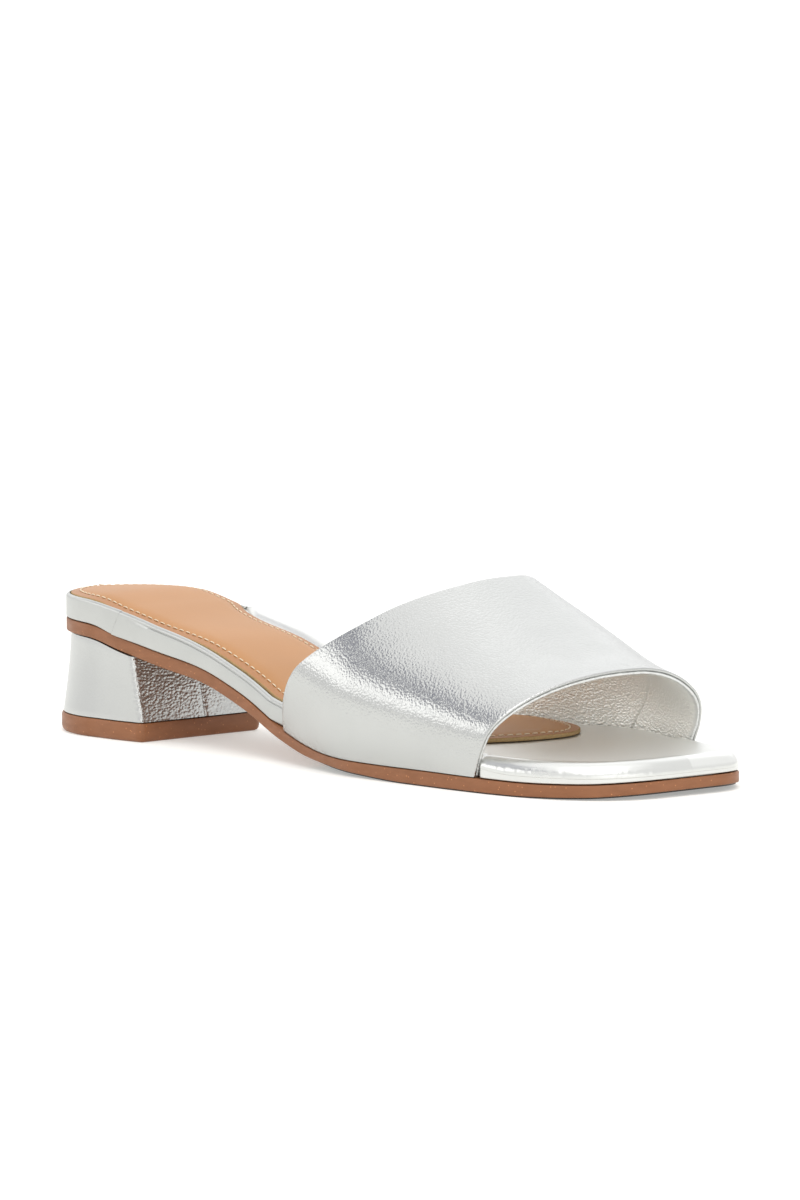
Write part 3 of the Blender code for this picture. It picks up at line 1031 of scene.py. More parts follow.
@dataclass
class Outsole:
    """Thin brown sole, with a notch in its top edge where the front wrap comes down over it."""

    form: ShoeForm
    place: Placement
    rounding: float = 0.0004
    ribs: int = 260
    # The tread sizes below give a near-black layer under the forefoot. It is partly real tread and partly
    # painted contact shadow under the sole's edge.
    tread: float = 0.0004
    tread_inset: float = 0.0009
    tread_start: float = 0.50
    tread_fade: float = 0.08
    tread_back: float = 0.004
    tread_ribs: int = 160
    tread_gap: float = 0.00002
    round_steps: int = 4
    side_shares: tuple[float, float] = (0.35, 0.7)

    def bottom(self, along: Points | float) -> Points:
        """Height of the brown sole's underside, over the tread under the forefoot.

        Args:
            along: Places along the sole.

        Returns:
            The height there.
        """
        share = np.asarray(along) / self.form.length
        under = ramp(share, self.tread_start, self.tread_start + self.tread_fade)
        return self.form.underside(along) + self.tread * under

    # The tread's near-black colour is partly its own and partly painted contact shadow, darkening the gap
    # under the sole's edge.
    def build_tread(self, finish: bpy.types.Material) -> None:
        """Builds and dresses the dark tread, set in from the sole's edge.

        Args:
            finish: Its material.
        """
        start = self.tread_start * self.form.length + self.tread_back
        loops = []
        for flank in Flank:
            side = self.form.outline(flank)
            run = side.lengths()
            front = int(np.argmax(side.points[:, 0] > start))
            loops.append(side.part(run[front], run[-1], self.tread_ribs).moved_in(self.tread_inset))
        levels = [
            Level(*[np.column_stack([loop, height(loop[:, 0])]) for loop in loops])
            for height in (self.form.underside, self.bottom)
        ]
        shell = RibbedShell(
            levels,
            bottom=lambda along, side, share: self.form.underside(along),
            top=lambda along, side, share: self.bottom(along) - self.tread_gap,
            pointed_start=False,
        ).build()
        dress(shell.piece("forefoot_tread", self.place, finish), Slot.OUTSOLE, "outsole")

    def build(self, finish: bpy.types.Material) -> None:
        """Builds and dresses the sole.

        Args:
            finish: Its material.
        """
        sides = [self.form.outline(flank) for flank in Flank]
        parts = [side.part(0, side.lengths()[-1], self.ribs) for side in sides]
        levels = []
        steps = np.linspace(0, math.pi / 2, self.round_steps)
        for turn in steps:
            inset, rise = self.rounding * (1 - math.sin(turn)), self.rounding * (1 - math.cos(turn))
            levels.append(self._level(parts, inset, rise, self.bottom))
        for share in self.side_shares:
            levels.append(self._between(parts, share))
        for turn in steps[::-1]:
            inset, rise = self.rounding * (1 - math.sin(turn)), -self.rounding * (1 - math.cos(turn))
            levels.append(self._level(parts, inset, rise, self.form.joint_height))
        shell = RibbedShell(
            levels,
            bottom=lambda along, side, share: self.bottom(along),
            top=lambda along, side, share: self.form.joint_height(along),
        ).build()
        dress(shell.piece("sole", self.place, finish), Slot.OUTSOLE, "outsole")

    def _level(
        self, parts: list[Outline], inset: float, rise: float, height: Callable[[Points], Points]
    ) -> Level:
        """Loop at one height over a face of the sole.

        Args:
            parts: The two sides of its outline.
            inset: How far the loop lies inside them.
            rise: How far it lies over the face.
            height: Height of the face at places along the sole.

        Returns:
            The loop.
        """
        lines = []
        for part in parts:
            plan = part.moved_in(inset)
            lines.append(np.column_stack([plan, height(plan[:, 0]) + rise]))
        return Level(*lines)

    def _between(self, parts: list[Outline], share: float) -> Level:
        """Loop on the sole's side, at a share of its height.

        Args:
            parts: The two sides of its outline.
            share: Share of the way up.

        Returns:
            The loop.
        """
        lines = []
        for part in parts:
            plan = part.points
            low, high = self.bottom(plan[:, 0]), self.form.joint_height(plan[:, 0])
            lines.append(np.column_stack([plan, low + (high - low) * share]))
        return Level(*lines)


@dataclass
class CoveredBoard:
    """The silver-covered board: a heel strip, and a front wrap that starts with a step."""

    form: ShoeForm
    place: Placement
    roll: float = 0.0010
    toe_roll: float = 0.0042
    toe_roll_start: float = 0.74
    wrap_step: float = 0.0004
    seat_overhang: float = 0.0007
    wall: float = 0.0018
    lip_height: float = 0.0026
    lip_width: float = 0.0005
    tuck: float = 0.0004
    joints: tuple[float, float] = (0.160, 0.176)
    slant: float = 0.0034
    joint_gaps: tuple[float, float] = (0.00045, 0.00012)
    welt_groove: float = 0.00032
    arch_slope: float = 0.0026
    # Painted highlight: arch_shine and rim_shine set how much of the paler colour, the front mark, lies on
    # the upper inner arch side and on the toe's sides, where light falls on them.
    arch_shine: float = 1.0
    rim_shine: float = 0.6
    wrinkled_level: int = 11
    wrinkled_reach: float = 2.5
    face_run: float = 0.0012
    round_steps: int = 4
    roll_steps: int = 9
    slope_steps: tuple[float, ...] = (0.2, 0.4, 0.6, 0.8, 1.0)
    overhang_span: tuple[float, float] = (0.30, 0.44)
    groove_spans: tuple[Row, Row] = ((0.17, 0.24), (0.455, 0.475))
    arch_spans: tuple[Row, Row] = ((0.17, 0.22), (0.42, 0.52))
    # arch_shine_span and rim_span place the painted highlight along the sole; gloss_span places the glossier
    # roll.
    arch_shine_span: tuple[float, float] = (0.16, 0.20)
    gloss_span: tuple[float, float] = (0.70, 0.80)
    rim_span: tuple[float, float] = (0.60, 0.74)
    strip_ribs: int = 90
    wrap_ribs: int = 300
    rib_crowding: float = 0.2
    slant_reach: float = 0.012
    slant_pivot: float = 0.4
    lowest_side: float = 0.15
    #: Rows up the side: distance under the shoulder and depth of the welt's groove.
    side_rows: tuple[Row, ...] = (
        (0.0016, 0.0),
        (0.00062, 0.0),
        (0.00045, 0.8),
        (0.00034, 1.0),
        (0.00023, 0.8),
        (0.00006, 0.0),
    )
    lip: tuple[Row, ...] = (
        (0.00, 0.46, 0.46),
        (0.03, 0.46, 0.30),
        (0.08, 0.46, 0.05),
        (0.13, 0.47, 0.02),
        (0.17, 0.62, 0.20),
        (0.21, 0.85, 0.90),
        (0.25, 0.78, 1.00),
        (0.32, 0.48, 1.00),
        (0.38, 0.40, 0.90),
        (0.50, 0.36, 0.70),
        (0.62, 0.00, 0.00),
    )
    band_seat: tuple[Row, ...] = ((0.44, 0.0), (0.47, 1.0))
    seat_ends: tuple[Row, Row] = ((0.8110, 0.8190), (0.8520, 0.8620))

    def inset(self, outline: Outline, stepped: bool) -> Points:
        """Inset of the board's side from the sole's edge.

        Args:
            outline: Stretch of the sole's outline.
            stepped: Whether it is the heel strip, which lies a step further in.

        Returns:
            The inset at each of its points.
        """
        share = outline.points[:, 0] / self.form.length
        margin = self.form.band_inset + (self.wrap_step if stepped else 0.0)
        end = self.seat_ends[0 if outline.points[len(share) // 2, 1] > 0 else 1]
        seat = smooth(self.band_seat, 1, share) * (1 - ramp(share, *end))
        overhang = self.seat_overhang * (1 - ramp(share, *self.overhang_span))
        return margin - overhang + seat * (self.wall + 2 * self.form.clearance)

    def lip_at(self, along: Points, flank: Flank) -> Points:
        """Height of the lip over the board's upper face."""
        return self.lip_height * smooth(self.lip, 1 if flank is Flank.OUTER else 2, along / self.form.length)

    def levels(self, outlines: list[Outline], stepped: bool) -> list[Level]:
        """Loops of one cover, from its tucked foot up its side and over its roll.

        Args:
            outlines: Its outer and inner stretch of the sole's outline.
            stepped: Whether it is the heel strip.

        Returns:
            The loops, bottom to top.
        """
        sides = [self._side(flank, outline, stepped) for flank, outline in zip(Flank, outlines)]
        return [
            Level(outer[0], inner[0], {name: (outer[1][name], inner[1][name]) for name in outer[1]})
            for outer, inner in zip(*sides)
        ]

    def _profile(self, along: Points, flank: Flank, stepped: bool) -> list[tuple[Points, Points]]:
        """Section of a cover's edge, from its tucked foot over its roll to its upper face.

        Args:
            along: Places along the sole.
            flank: Side of the shoe that they are on.
            stepped: Whether it is the heel strip, which has no welt groove.

        Returns:
            Distance inwards and height of each row, at each place.
        """
        share = along / self.form.length
        roll = self.roll + (self.toe_roll - self.roll) * ramp(share, self.toe_roll_start, self.form.toe_start)
        rim = self.form.board_top(along) + self.lip_at(along, flank)
        base = self.form.joint_height(along) + self.form.clearance
        rows: list[tuple[Points, Points]] = []
        for turn in np.linspace(0, math.pi / 2, self.round_steps):
            rows.append((self.tuck * (1 - math.sin(turn)), base + self.tuck * (1 - math.cos(turn))))
        groove_start, groove_end = self.groove_spans
        groove = self.welt_groove * ramp(share, *groove_start) * (1 - ramp(share, *groove_end))
        groove = groove * (0 if stepped else 1)
        side = rim - roll - base - self.tuck
        for under, depth in self.side_rows:
            reach = np.clip(1 - under / np.maximum(side, LEAST), self.lowest_side, 1)
            rows.append((groove * depth, base + self.tuck + side * reach))
        for turn in np.linspace(0, math.pi / 2, self.roll_steps):
            rows.append((roll * (1 - math.cos(turn)), rim - roll * (1 - math.sin(turn))))
        top = self.form.board_top(along)
        slope = self.lip_width
        if flank is Flank.INNER:
            arch_start, arch_end = self.arch_spans
            slope = slope + self.arch_slope * ramp(share, *arch_start) * (1 - ramp(share, *arch_end))
        for run in self.slope_steps:
            drop = run * run if flank is Flank.INNER else run
            rows.append((roll + slope * run, rim + (top - rim) * drop))
        rows.append((roll + slope + self.face_run, top))
        return rows

    def _side(self, flank: Flank, outline: Outline, stepped: bool) -> list[tuple[Points, dict[str, Points]]]:
        """Lines of one side of a cover, bottom to top, with the marks of its finish.

        Args:
            flank: Side of the shoe.
            outline: Its stretch of the sole's outline.
            stepped: Whether it is the heel strip.

        Returns:
            Points and marks of each line.
        """
        side = Outline(outline.moved_in(self.inset(outline, stepped)), outline.normals)
        along = side.points[:, 0]
        share = along / self.form.length
        rows = self._profile(along, flank, stepped)
        made = []
        for number, (distance, height) in enumerate(rows):
            plan = side.moved_in(distance)
            on_face = number == len(rows) - 1
            gloss = ramp(share, *self.gloss_span) * (0.0 if on_face else 1.0)
            # Painted highlight, kept as the front mark: a paler colour on the toe, full on its upper face,
            # and on the upper inner arch side.
            pale = ramp(share, *self.rim_span) * (1.0 if on_face else self.rim_shine)
            if flank is Flank.INNER and number > self.wrinkled_level:
                pale = np.maximum(pale, self.arch_shine * ramp(share, *self.arch_shine_span))
            wrinkled = gloss * float(bump(number, self.wrinkled_level, self.wrinkled_reach))
            line = np.column_stack([plan, np.broadcast_to(height, len(plan))])
            made.append((line, {"gloss": gloss, "front": pale, "wrinkled": wrinkled}))
        return made

    def build(self, finish: bpy.types.Material) -> None:
        """Builds and dresses the two covers.

        Args:
            finish: Their material.
        """
        heel, front = [], []
        for flank, share, gap in zip(Flank, self.joints, self.joint_gaps):
            outline = self.form.outline(flank)
            run = outline.lengths()
            half = int(np.argmax(outline.points[:, 0] > self.form.length / 2))
            joint = float(np.interp(share * self.form.length, outline.points[:half, 0], run[:half]))
            heel.append(outline.part(0, joint - gap / 2, self.strip_ribs, self.rib_crowding))
            front.append(outline.part(joint + gap / 2, run[-1], self.wrap_ribs, self.rib_crowding))

        def floor(along: Points, side: Points, share: Points) -> Points:
            """Height of a cover's underside."""
            return self.form.joint_height(along) + self.form.clearance

        def face(along: Points, side: Points, share: Points) -> Points:
            """Height of a cover's upper face."""
            return self.form.board_top(along)

        strip = RibbedShell(self.levels(heel, True), floor, face, pointed_end=False).build()
        self._slant(strip)
        dress(strip.piece("heel_strip", self.place, finish), Slot.BOARD, "insole_board")
        wrap = RibbedShell(self.levels(front, False), floor, face, pointed_start=False).build()
        self._slant(wrap)
        dress(wrap.piece("front_wrap", self.place, finish), Slot.BOARD, "insole_board")

    def _slant(self, shell: Shell) -> None:
        """Leans the joint of the two covers, its foot further back than its top.

        Args:
            shell: Cover whose points it moves.
        """
        for i, (along, side, height) in enumerate(shell.points):
            joint = self.joints[0 if side >= 0 else 1] * self.form.length
            near = float(bump(along, joint, self.slant_reach))
            if near > 0:
                middle = float(self.form.sole_top(along)) + self.slant_pivot * self.form.board_thickness
                lean = self.slant * near * (height - middle) / self.form.board_thickness
                shell.points[i] = (along + lean, side, height)


@dataclass
class PaddedSock:
    """Tan sock: a raw cut edge, a flat stitched margin, and a pad that swells inside it."""

    form: ShoeForm
    place: Placement
    board: CoveredBoard
    edge: float = 0.0011
    crown: float = 0.0009
    crown_power: float = 2.4
    margin: float = 0.0008
    arch_margin: float = 0.0028
    arch_start: tuple[float, float] = (0.13, 0.19)
    seat_end: float = 0.30
    length: float = 0.1885
    turn: float = 0.1560
    back_rise: float = 0.0350
    tip_side: float = -0.0080
    seam_inset: float = 0.0029
    seam_depth: float = 0.00016
    climb: float = 0.00035
    pillow: float = 0.00060
    seam_half_width: float = 0.0007
    pillow_run: tuple[float, float] = (-0.0004, 0.0030)
    inner_climb: float = 0.1
    low_ends: float = 0.5
    ribs: int = 220
    across: int = 22
    tip_steps: int = 80
    calm: int = 7
    sharp: float = 65
    #: Rows of the raw edge: inset and height over the board.
    edge_rows: tuple[Row, ...] = ((0.00015, 0.0), (0.0, 0.0002), (0.0, 0.0008), (0.0001, 0.00105))
    #: Insets of the rows over the margin, the seam and the start of the pillow.
    face_rows: tuple[float, ...] = (
        *(0.00035, 0.001, 0.0018, 0.0023, 0.0026, 0.0029),
        *(0.0032, 0.0035, 0.0042, 0.0052, 0.0064, 0.0078),
    )

    def outlines(self) -> list[Outline]:
        """Outer and inner outline of the sock, from the heel's back to its round tip.

        Returns:
            The two outlines.
        """
        made = []
        for flank in Flank:
            sole = self.form.outline(flank)
            board = sole.moved_in(self.board.inset(sole, False))
            share = board[:, 0] / self.form.length
            lip = self.board.lip_at(board[:, 0], flank)
            raised = np.where(share < self.seat_end, 1.0, np.clip(lip / self.form.clearance, 0, 1))
            beside = (self.board.roll + self.board.lip_width + self.form.clearance) * raised
            arched = ramp(share, *self.arch_start) if flank is Flank.INNER else 0.0
            arch = self.arch_margin * arched * lip / self.board.lip_height
            plan = sole.moved_in(
                self.board.inset(sole, False) + np.maximum(self.margin + self.board.wrap_step, beside) + arch
            )
            straight = plan[plan[:, 0] < self.turn]
            start = straight[-1]
            turn = np.linspace(0, math.pi / 2, self.tip_steps)[1:]
            front = np.stack(
                [
                    start[0] + (self.length - start[0]) * np.sin(turn),
                    self.tip_side + (start[1] - self.tip_side) * np.cos(turn),
                ],
                -1,
            )
            fine = Outline.through(np.concatenate([straight, front]), flank)
            fine.normals[-1] = (1.0, 0.0)
            made.append(fine.part(0, fine.lengths()[-1], self.ribs).calmed(self.calm))
        return made

    def swell(self, along: Points, side: Points, borders: list[Points]) -> Points:
        """Height of the crown over the sock's edge.

        Args:
            along: Places along the sole.
            side: Places across it.
            borders: Outer and inner outline points of the sock.

        Returns:
            The crown's height there.
        """
        outer, inner = (np.interp(along, line[:, 0], line[:, 1]) for line in borders)
        share = np.clip((outer - side) / np.maximum(outer - inner, LEAST), 0, 1)
        across = 1 - abs(2 * share - 1) ** self.crown_power
        ends = np.minimum(along / self.back_rise, (self.length - along) / (self.length - self.turn))
        return self.crown * across * np.sin(np.clip(ends, 0, 1) * math.pi / 2)

    def seam_height(self, inset: Points | float, along: Points, share: Points | float) -> Points:
        """Height over the crown of the margin, the stitched groove and the pillow inside it.

        Args:
            inset: Distance from the sock's edge.
            along: Places along the sole.
            share: Share of the way from the outer side to the inner, whose margin is flatter.

        Returns:
            The height, lower at the back and at the tip.
        """
        inset = np.asarray(inset, float)
        groove = self.seam_depth * bump(inset, self.seam_inset, self.seam_half_width)
        lean = 1 - (1 - self.inner_climb) * np.asarray(share)
        climb = self.climb * np.clip(inset / self.seam_inset, 0, 1) * lean
        pillow = self.pillow * ramp(inset, *(self.seam_inset + run for run in self.pillow_run))
        middle = ramp(along, 0, self.back_rise) * (1 - ramp(along, self.turn, self.length))
        ends = self.low_ends + (1 - self.low_ends) * middle
        return (climb + pillow) * ends - groove

    def build(self, finish: bpy.types.Material) -> Points:
        """Builds and dresses the sock.

        Args:
            finish: Its material.

        Returns:
            Points of the closed line that the stitches follow.
        """
        sides = self.outlines()
        borders = [side.points for side in sides]

        def base(along: Points | float) -> Points:
            """Height of the board under the sock."""
            return self.form.board_top(along) + self.form.clearance

        def level(inset: float, height: HeightAt, raw: float, margin: float) -> Level:
            """One loop of the sock, over the board by a height.

            Args:
                inset: Distance from the sock's edge.
                height: Height over the board.
                raw: Mark of the raw edge.
                margin: Mark of the stitched margin.

            Returns:
                The loop.
            """
            loops = []
            for lean, side in enumerate(sides):
                line = side.moved_in(inset)
                loops.append(np.column_stack([line, base(line[:, 0]) + height(line[:, 0], line[:, 1], lean)]))
            marks = {
                name: tuple(np.full(len(loop), value) for loop in loops)
                for name, value in (("raw", raw), ("margin", margin))
            }
            return Level(*loops, marks)

        def face_over(inset: float) -> HeightAt:
            """Height of the padded face over the board, at a distance from the edge.

            Args:
                inset: Distance from the sock's edge.

            Returns:
                What gives the height at a place.
            """
            return lambda along, side, share: (
                self.edge + self.seam_height(inset, along, share) + self.swell(along, side, borders)
            )

        levels = [level(inset, lambda a, s, k, rise=rise: rise, 1.0, 0.0) for inset, rise in self.edge_rows]
        for inset in self.face_rows:
            levels.append(level(inset, face_over(inset), 0.0, 1.0 if inset < self.seam_inset else 0.0))
        padded = face_over(self.form.length)
        shell = RibbedShell(
            levels, lambda a, s, k: base(a), lambda a, s, k: base(a) + padded(a, s, k), across=self.across
        ).build()
        made = shell.piece("sock_pad", self.place, finish, sharp=self.sharp)
        dress(made, Slot.SOCK, "sock")
        seam = levels[len(self.edge_rows) + self.face_rows.index(self.seam_inset)]
        return np.concatenate([seam.outer, seam.inner[-2:0:-1]])


@dataclass
class StitchRow:
    """A row of stitches along a closed line, made with Geometry Nodes."""

    place: Placement
    pitch: float = 0.0027
    stitch: float = 0.0020
    thickness: float = 0.00048
    lift: float = 0.00010
    raised_share: float = 0.4
    flatness: float = 0.8
    end_dip: float = 0.00018
    least_end: float = 0.05
    rings: int = 7
    around: int = 8

    def thread_piece(self) -> bpy.types.Object:
        """One stitch: a short thread whose ends dip into the leather.

        Returns:
            The stitch, lying along X.
        """
        shell = Shell()
        grid = []
        for ring in range(self.rings):
            t = ring / (self.rings - 1) * 2 - 1
            radius = self.thickness / 2 * math.sqrt(max(self.least_end, 1 - t**4))
            drop = self.end_dip * t**4
            row = []
            for k in range(self.around):
                turn = 2 * math.pi * k / self.around
                height = radius * math.sin(turn) * self.flatness - drop
                row.append(shell.add((t * self.stitch / 2, radius * math.cos(turn), height)))
            grid.append(row)
        for near, far in zip(grid, grid[1:]):
            for k in range(self.around):
                j = (k + 1) % self.around
                shell.faces.append((near[k], near[j], far[j], far[k]))
        shell.faces += [tuple(grid[0][::-1]), tuple(grid[-1])]
        mesh = bpy.data.meshes.new("one_stitch")
        mesh.from_pydata(shell.points, [], shell.faces)
        mesh.shade_smooth()
        return linked("one_stitch", mesh)

    def tree(self, thread: bpy.types.Object, finish: bpy.types.Material) -> bpy.types.GeometryNodeTree:
        """Builds the node tree that lays the stitches.

        Args:
            thread: The stitch to repeat.
            finish: Its material.

        Returns:
            The tree.
        """
        tree = bpy.data.node_groups.new("stitch_row", "GeometryNodeTree")
        face = tree.interface
        face.new_socket("Geometry", in_out="INPUT", socket_type="NodeSocketGeometry")
        face.new_socket("Pitch", in_out="INPUT", socket_type="NodeSocketFloat")
        face.new_socket("Geometry", in_out="OUTPUT", socket_type="NodeSocketGeometry")
        nodes, links = tree.nodes, tree.links
        start, end = nodes.new("NodeGroupInput"), nodes.new("NodeGroupOutput")
        curve = nodes.new("GeometryNodeMeshToCurve")
        points = nodes.new("GeometryNodeCurveToPoints")
        points.mode = "LENGTH"
        align = nodes.new("FunctionNodeAlignRotationToVector")
        align.axis = "X"
        stitch = nodes.new("GeometryNodeObjectInfo")
        stitch.inputs["Object"].default_value = thread
        lay = nodes.new("GeometryNodeInstanceOnPoints")
        flat = nodes.new("GeometryNodeRealizeInstances")
        paint = nodes.new("GeometryNodeSetMaterial")
        paint.inputs["Material"].default_value = finish
        links.new(start.outputs[0], curve.inputs["Mesh"])
        links.new(curve.outputs[0], points.inputs["Curve"])
        links.new(start.outputs[1], points.inputs["Length"])
        links.new(points.outputs["Tangent"], align.inputs["Vector"])
        links.new(points.outputs["Points"], lay.inputs["Points"])
        links.new(align.outputs[0], lay.inputs["Rotation"])
        links.new(stitch.outputs["Geometry"], lay.inputs["Instance"])
        links.new(lay.outputs[0], flat.inputs[0])
        links.new(flat.outputs[0], paint.inputs["Geometry"])
        links.new(paint.outputs[0], end.inputs[0])
        return tree

    def build(self, name: str, line: Points, finish: bpy.types.Material, slot: Slot) -> None:
        """Lays and dresses the stitches.

        Args:
            name: The piece's name.
            line: Points (along, side, height) of the closed line.
            finish: Material of the thread.
            slot: Material slot that the thread goes with.
        """
        lifted = line + np.array([0.0, 0.0, self.thickness * self.raised_share + self.lift])
        mesh = bpy.data.meshes.new(name + "_path")
        count = len(lifted)
        mesh.from_pydata(self.place.world(lifted), [(i, (i + 1) % count) for i in range(count)], [])
        path = linked(name + "_path", mesh)
        thread = self.thread_piece()
        modifier = path.modifiers.new("stitches", "NODES")
        tree = self.tree(thread, finish)
        modifier.node_group = tree
        pitch = next(item for item in tree.interface.items_tree if item.name == "Pitch")
        modifier[pitch.identifier] = self.pitch
        graph = bpy.context.evaluated_depsgraph_get()
        graph.update()
        plain = bpy.data.meshes.new_from_object(path.evaluated_get(graph))
        plain.name = name
        plain.shade_smooth()
        made = linked(name, plain)
        for spare in (path, thread):
            bpy.data.objects.remove(spare, do_unlink=True)
        dress(made, slot)


@dataclass
class BandUpper:
    """The wide band: an outer leather and its lining, their folded rims side by side."""

    form: ShoeForm
    place: Placement
    wall: float = 0.0018
    split: float = 0.00095
    seam: float = 0.00005
    seam_row: float = 0.685
    seam_width: float = 0.005
    seam_depth: float = 0.0003
    seam_lap: float = 0.0002
    seam_steps: tuple[float, ...] = (-3.0, -1.5, -0.5, 0.0, 0.5, 1.5, 3.0)
    columns: int = 92
    girths: int = 260
    rim_steps: int = 8
    rim_rows: tuple[float, float, float] = (0.0, 0.02, 0.03)
    edges: tuple[Row, ...] = (
        (0.00, 0.469, 0.810),
        (0.15, 0.520, 0.827),
        (0.30, 0.603, 0.853),
        (0.43, 0.649, 0.873),
        (0.50, 0.658, 0.881),
        (0.57, 0.656, 0.884),
        (0.70, 0.618, 0.882),
        (0.85, 0.536, 0.866),
        (1.00, 0.477, 0.851),
    )
    troughs: tuple[Row, ...] = (
        (0.30, 0.40, 0.16, 0.20, 0.00018),
        (0.47, 0.78, 0.10, 0.16, 0.00022),
        (0.56, 0.40, 0.12, 0.25, -0.00020),
        (0.10, 0.90, 0.05, 0.12, 0.00014),
    )

    def sheet(self, girths: Points, rows: Points) -> tuple[Points, Points]:
        """Outer face of the band on a grid, with its soft troughs.

        Args:
            girths: Shares of the way over it.
            rows: Shares of the way from its rear edge to its front edge.

        Returns:
            Points and outward normals, each girth by row by 3.
        """
        g, r = np.meshgrid(girths, rows, indexing="ij")
        rear, front = smooth(self.edges, 1, g), smooth(self.edges, 2, g)
        points = self.form.band_surface(self.form.length * (rear + (front - rear) * r), g)
        over = np.gradient(points, axis=0)
        ahead = np.gradient(points, axis=1)
        normals = np.cross(ahead, over)
        normals /= np.linalg.norm(normals, axis=2)[:, :, None]
        if normals[len(girths) // 2, len(rows) // 2, 2] < 0:
            normals = -normals
        depth = np.zeros(g.shape)
        for centre, row, wide, long, deep in self.troughs:
            depth += deep * bump(np.hypot((g - centre) / wide, (r - row) / long), 0, 1)
        return points - normals * depth[:, :, None], normals

    def layer(
        self, name: str, outside: float, inside: float, finish: bpy.types.Material, seamed: bool = False
    ) -> None:
        """Builds and dresses one leather of the band, closed, with round rims.

        Args:
            name: The piece's name.
            outside: Depth of its outer face under the band's own.
            inside: Depth of its inner face.
            finish: Its material.
            seamed: Whether a seam crosses its inner face, the front part lapped over the rear.
        """
        radius = (inside - outside) / 2
        girths = np.linspace(0, 1, self.girths)
        seam_rows = self.seam_row + np.array(self.seam_steps) * self.seam_width
        rim, near, first = self.rim_rows
        even = np.linspace(first, 1 - first, self.columns)
        rows = np.unique(np.concatenate([[rim, near], even, seam_rows, [1 - near, 1 - rim]]))
        points, normals = self.sheet(girths, rows)
        lapped = np.clip((rows - self.seam_row) / self.seam_width, 0, 1)
        sunk = self.seam_depth * bump(rows, self.seam_row, 2 * self.seam_width)
        cut = (sunk - self.seam_lap * lapped) * seamed
        shell = Shell()
        rings = []
        for line, normal in zip(points, normals):
            rear, front = line[1] - line[0], line[-1] - line[-2]
            middle = range(1, len(rows) - 1)
            ring = [shell.add(line[j] - normal[j] * outside, rim=0.0) for j in middle]
            for turn in np.linspace(0, math.pi, self.rim_steps + 1):
                out = front / np.linalg.norm(front) * radius * (math.sin(turn) - 1)
                down = normal[-1] * (outside + radius * (1 - math.cos(turn)))
                ring.append(shell.add(line[-1] + out - down, rim=1.0))
            ring += [shell.add(line[j] - normal[j] * (inside - cut[j]), rim=0.0) for j in reversed(middle)]
            for turn in np.linspace(0, math.pi, self.rim_steps + 1):
                out = -rear / np.linalg.norm(rear) * radius * (math.sin(turn) - 1)
                down = normal[0] * (inside - radius * (1 - math.cos(turn)))
                ring.append(shell.add(line[0] + out - down, rim=1.0))
            rings.append(ring)
        count = len(rings[0])
        for near, far in zip(rings, rings[1:]):
            for k in range(count):
                j = (k + 1) % count
                shell.faces.append((near[k], near[j], far[j], far[k]))
        for ring in (rings[0], rings[-1]):
            self._foot(shell, ring, len(rows) - 2)
        dress(shell.piece(name, self.place, finish), Slot.BAND, "band")

    def _foot(self, shell: Shell, ring: list[int], width: int) -> None:
        """Closes one foot of a leather with a strip of faces from its outer to its inner face.

        Args:
            shell: Shell of the leather.
            ring: Point indices of the section at that foot.
            width: Number of points on its outer face.
        """
        count = len(ring)
        back = self.rim_steps + 1
        outer = ring[:width]
        inner = ring[width + back : 2 * width + back][::-1]
        for k in range(width - 1):
            shell.faces.append((outer[k], outer[k + 1], inner[k + 1], inner[k]))
        shell.faces.append(tuple([outer[-1], *ring[width : width + back], inner[-1]]))
        shell.faces.append(tuple([inner[0], *ring[2 * width + back : count], outer[0]]))

    def build(self, outer: bpy.types.Material, lining: bpy.types.Material) -> None:
        """Builds the outer leather and the lining, whose seam lies on the inner side.

        Args:
            outer: Material of the outer leather.
            lining: Material of the lining.
        """
        self.layer("band_outer", 0.0, self.split - self.seam, outer)
        self.layer("band_lining", self.split + self.seam, self.wall, lining, seamed=True)


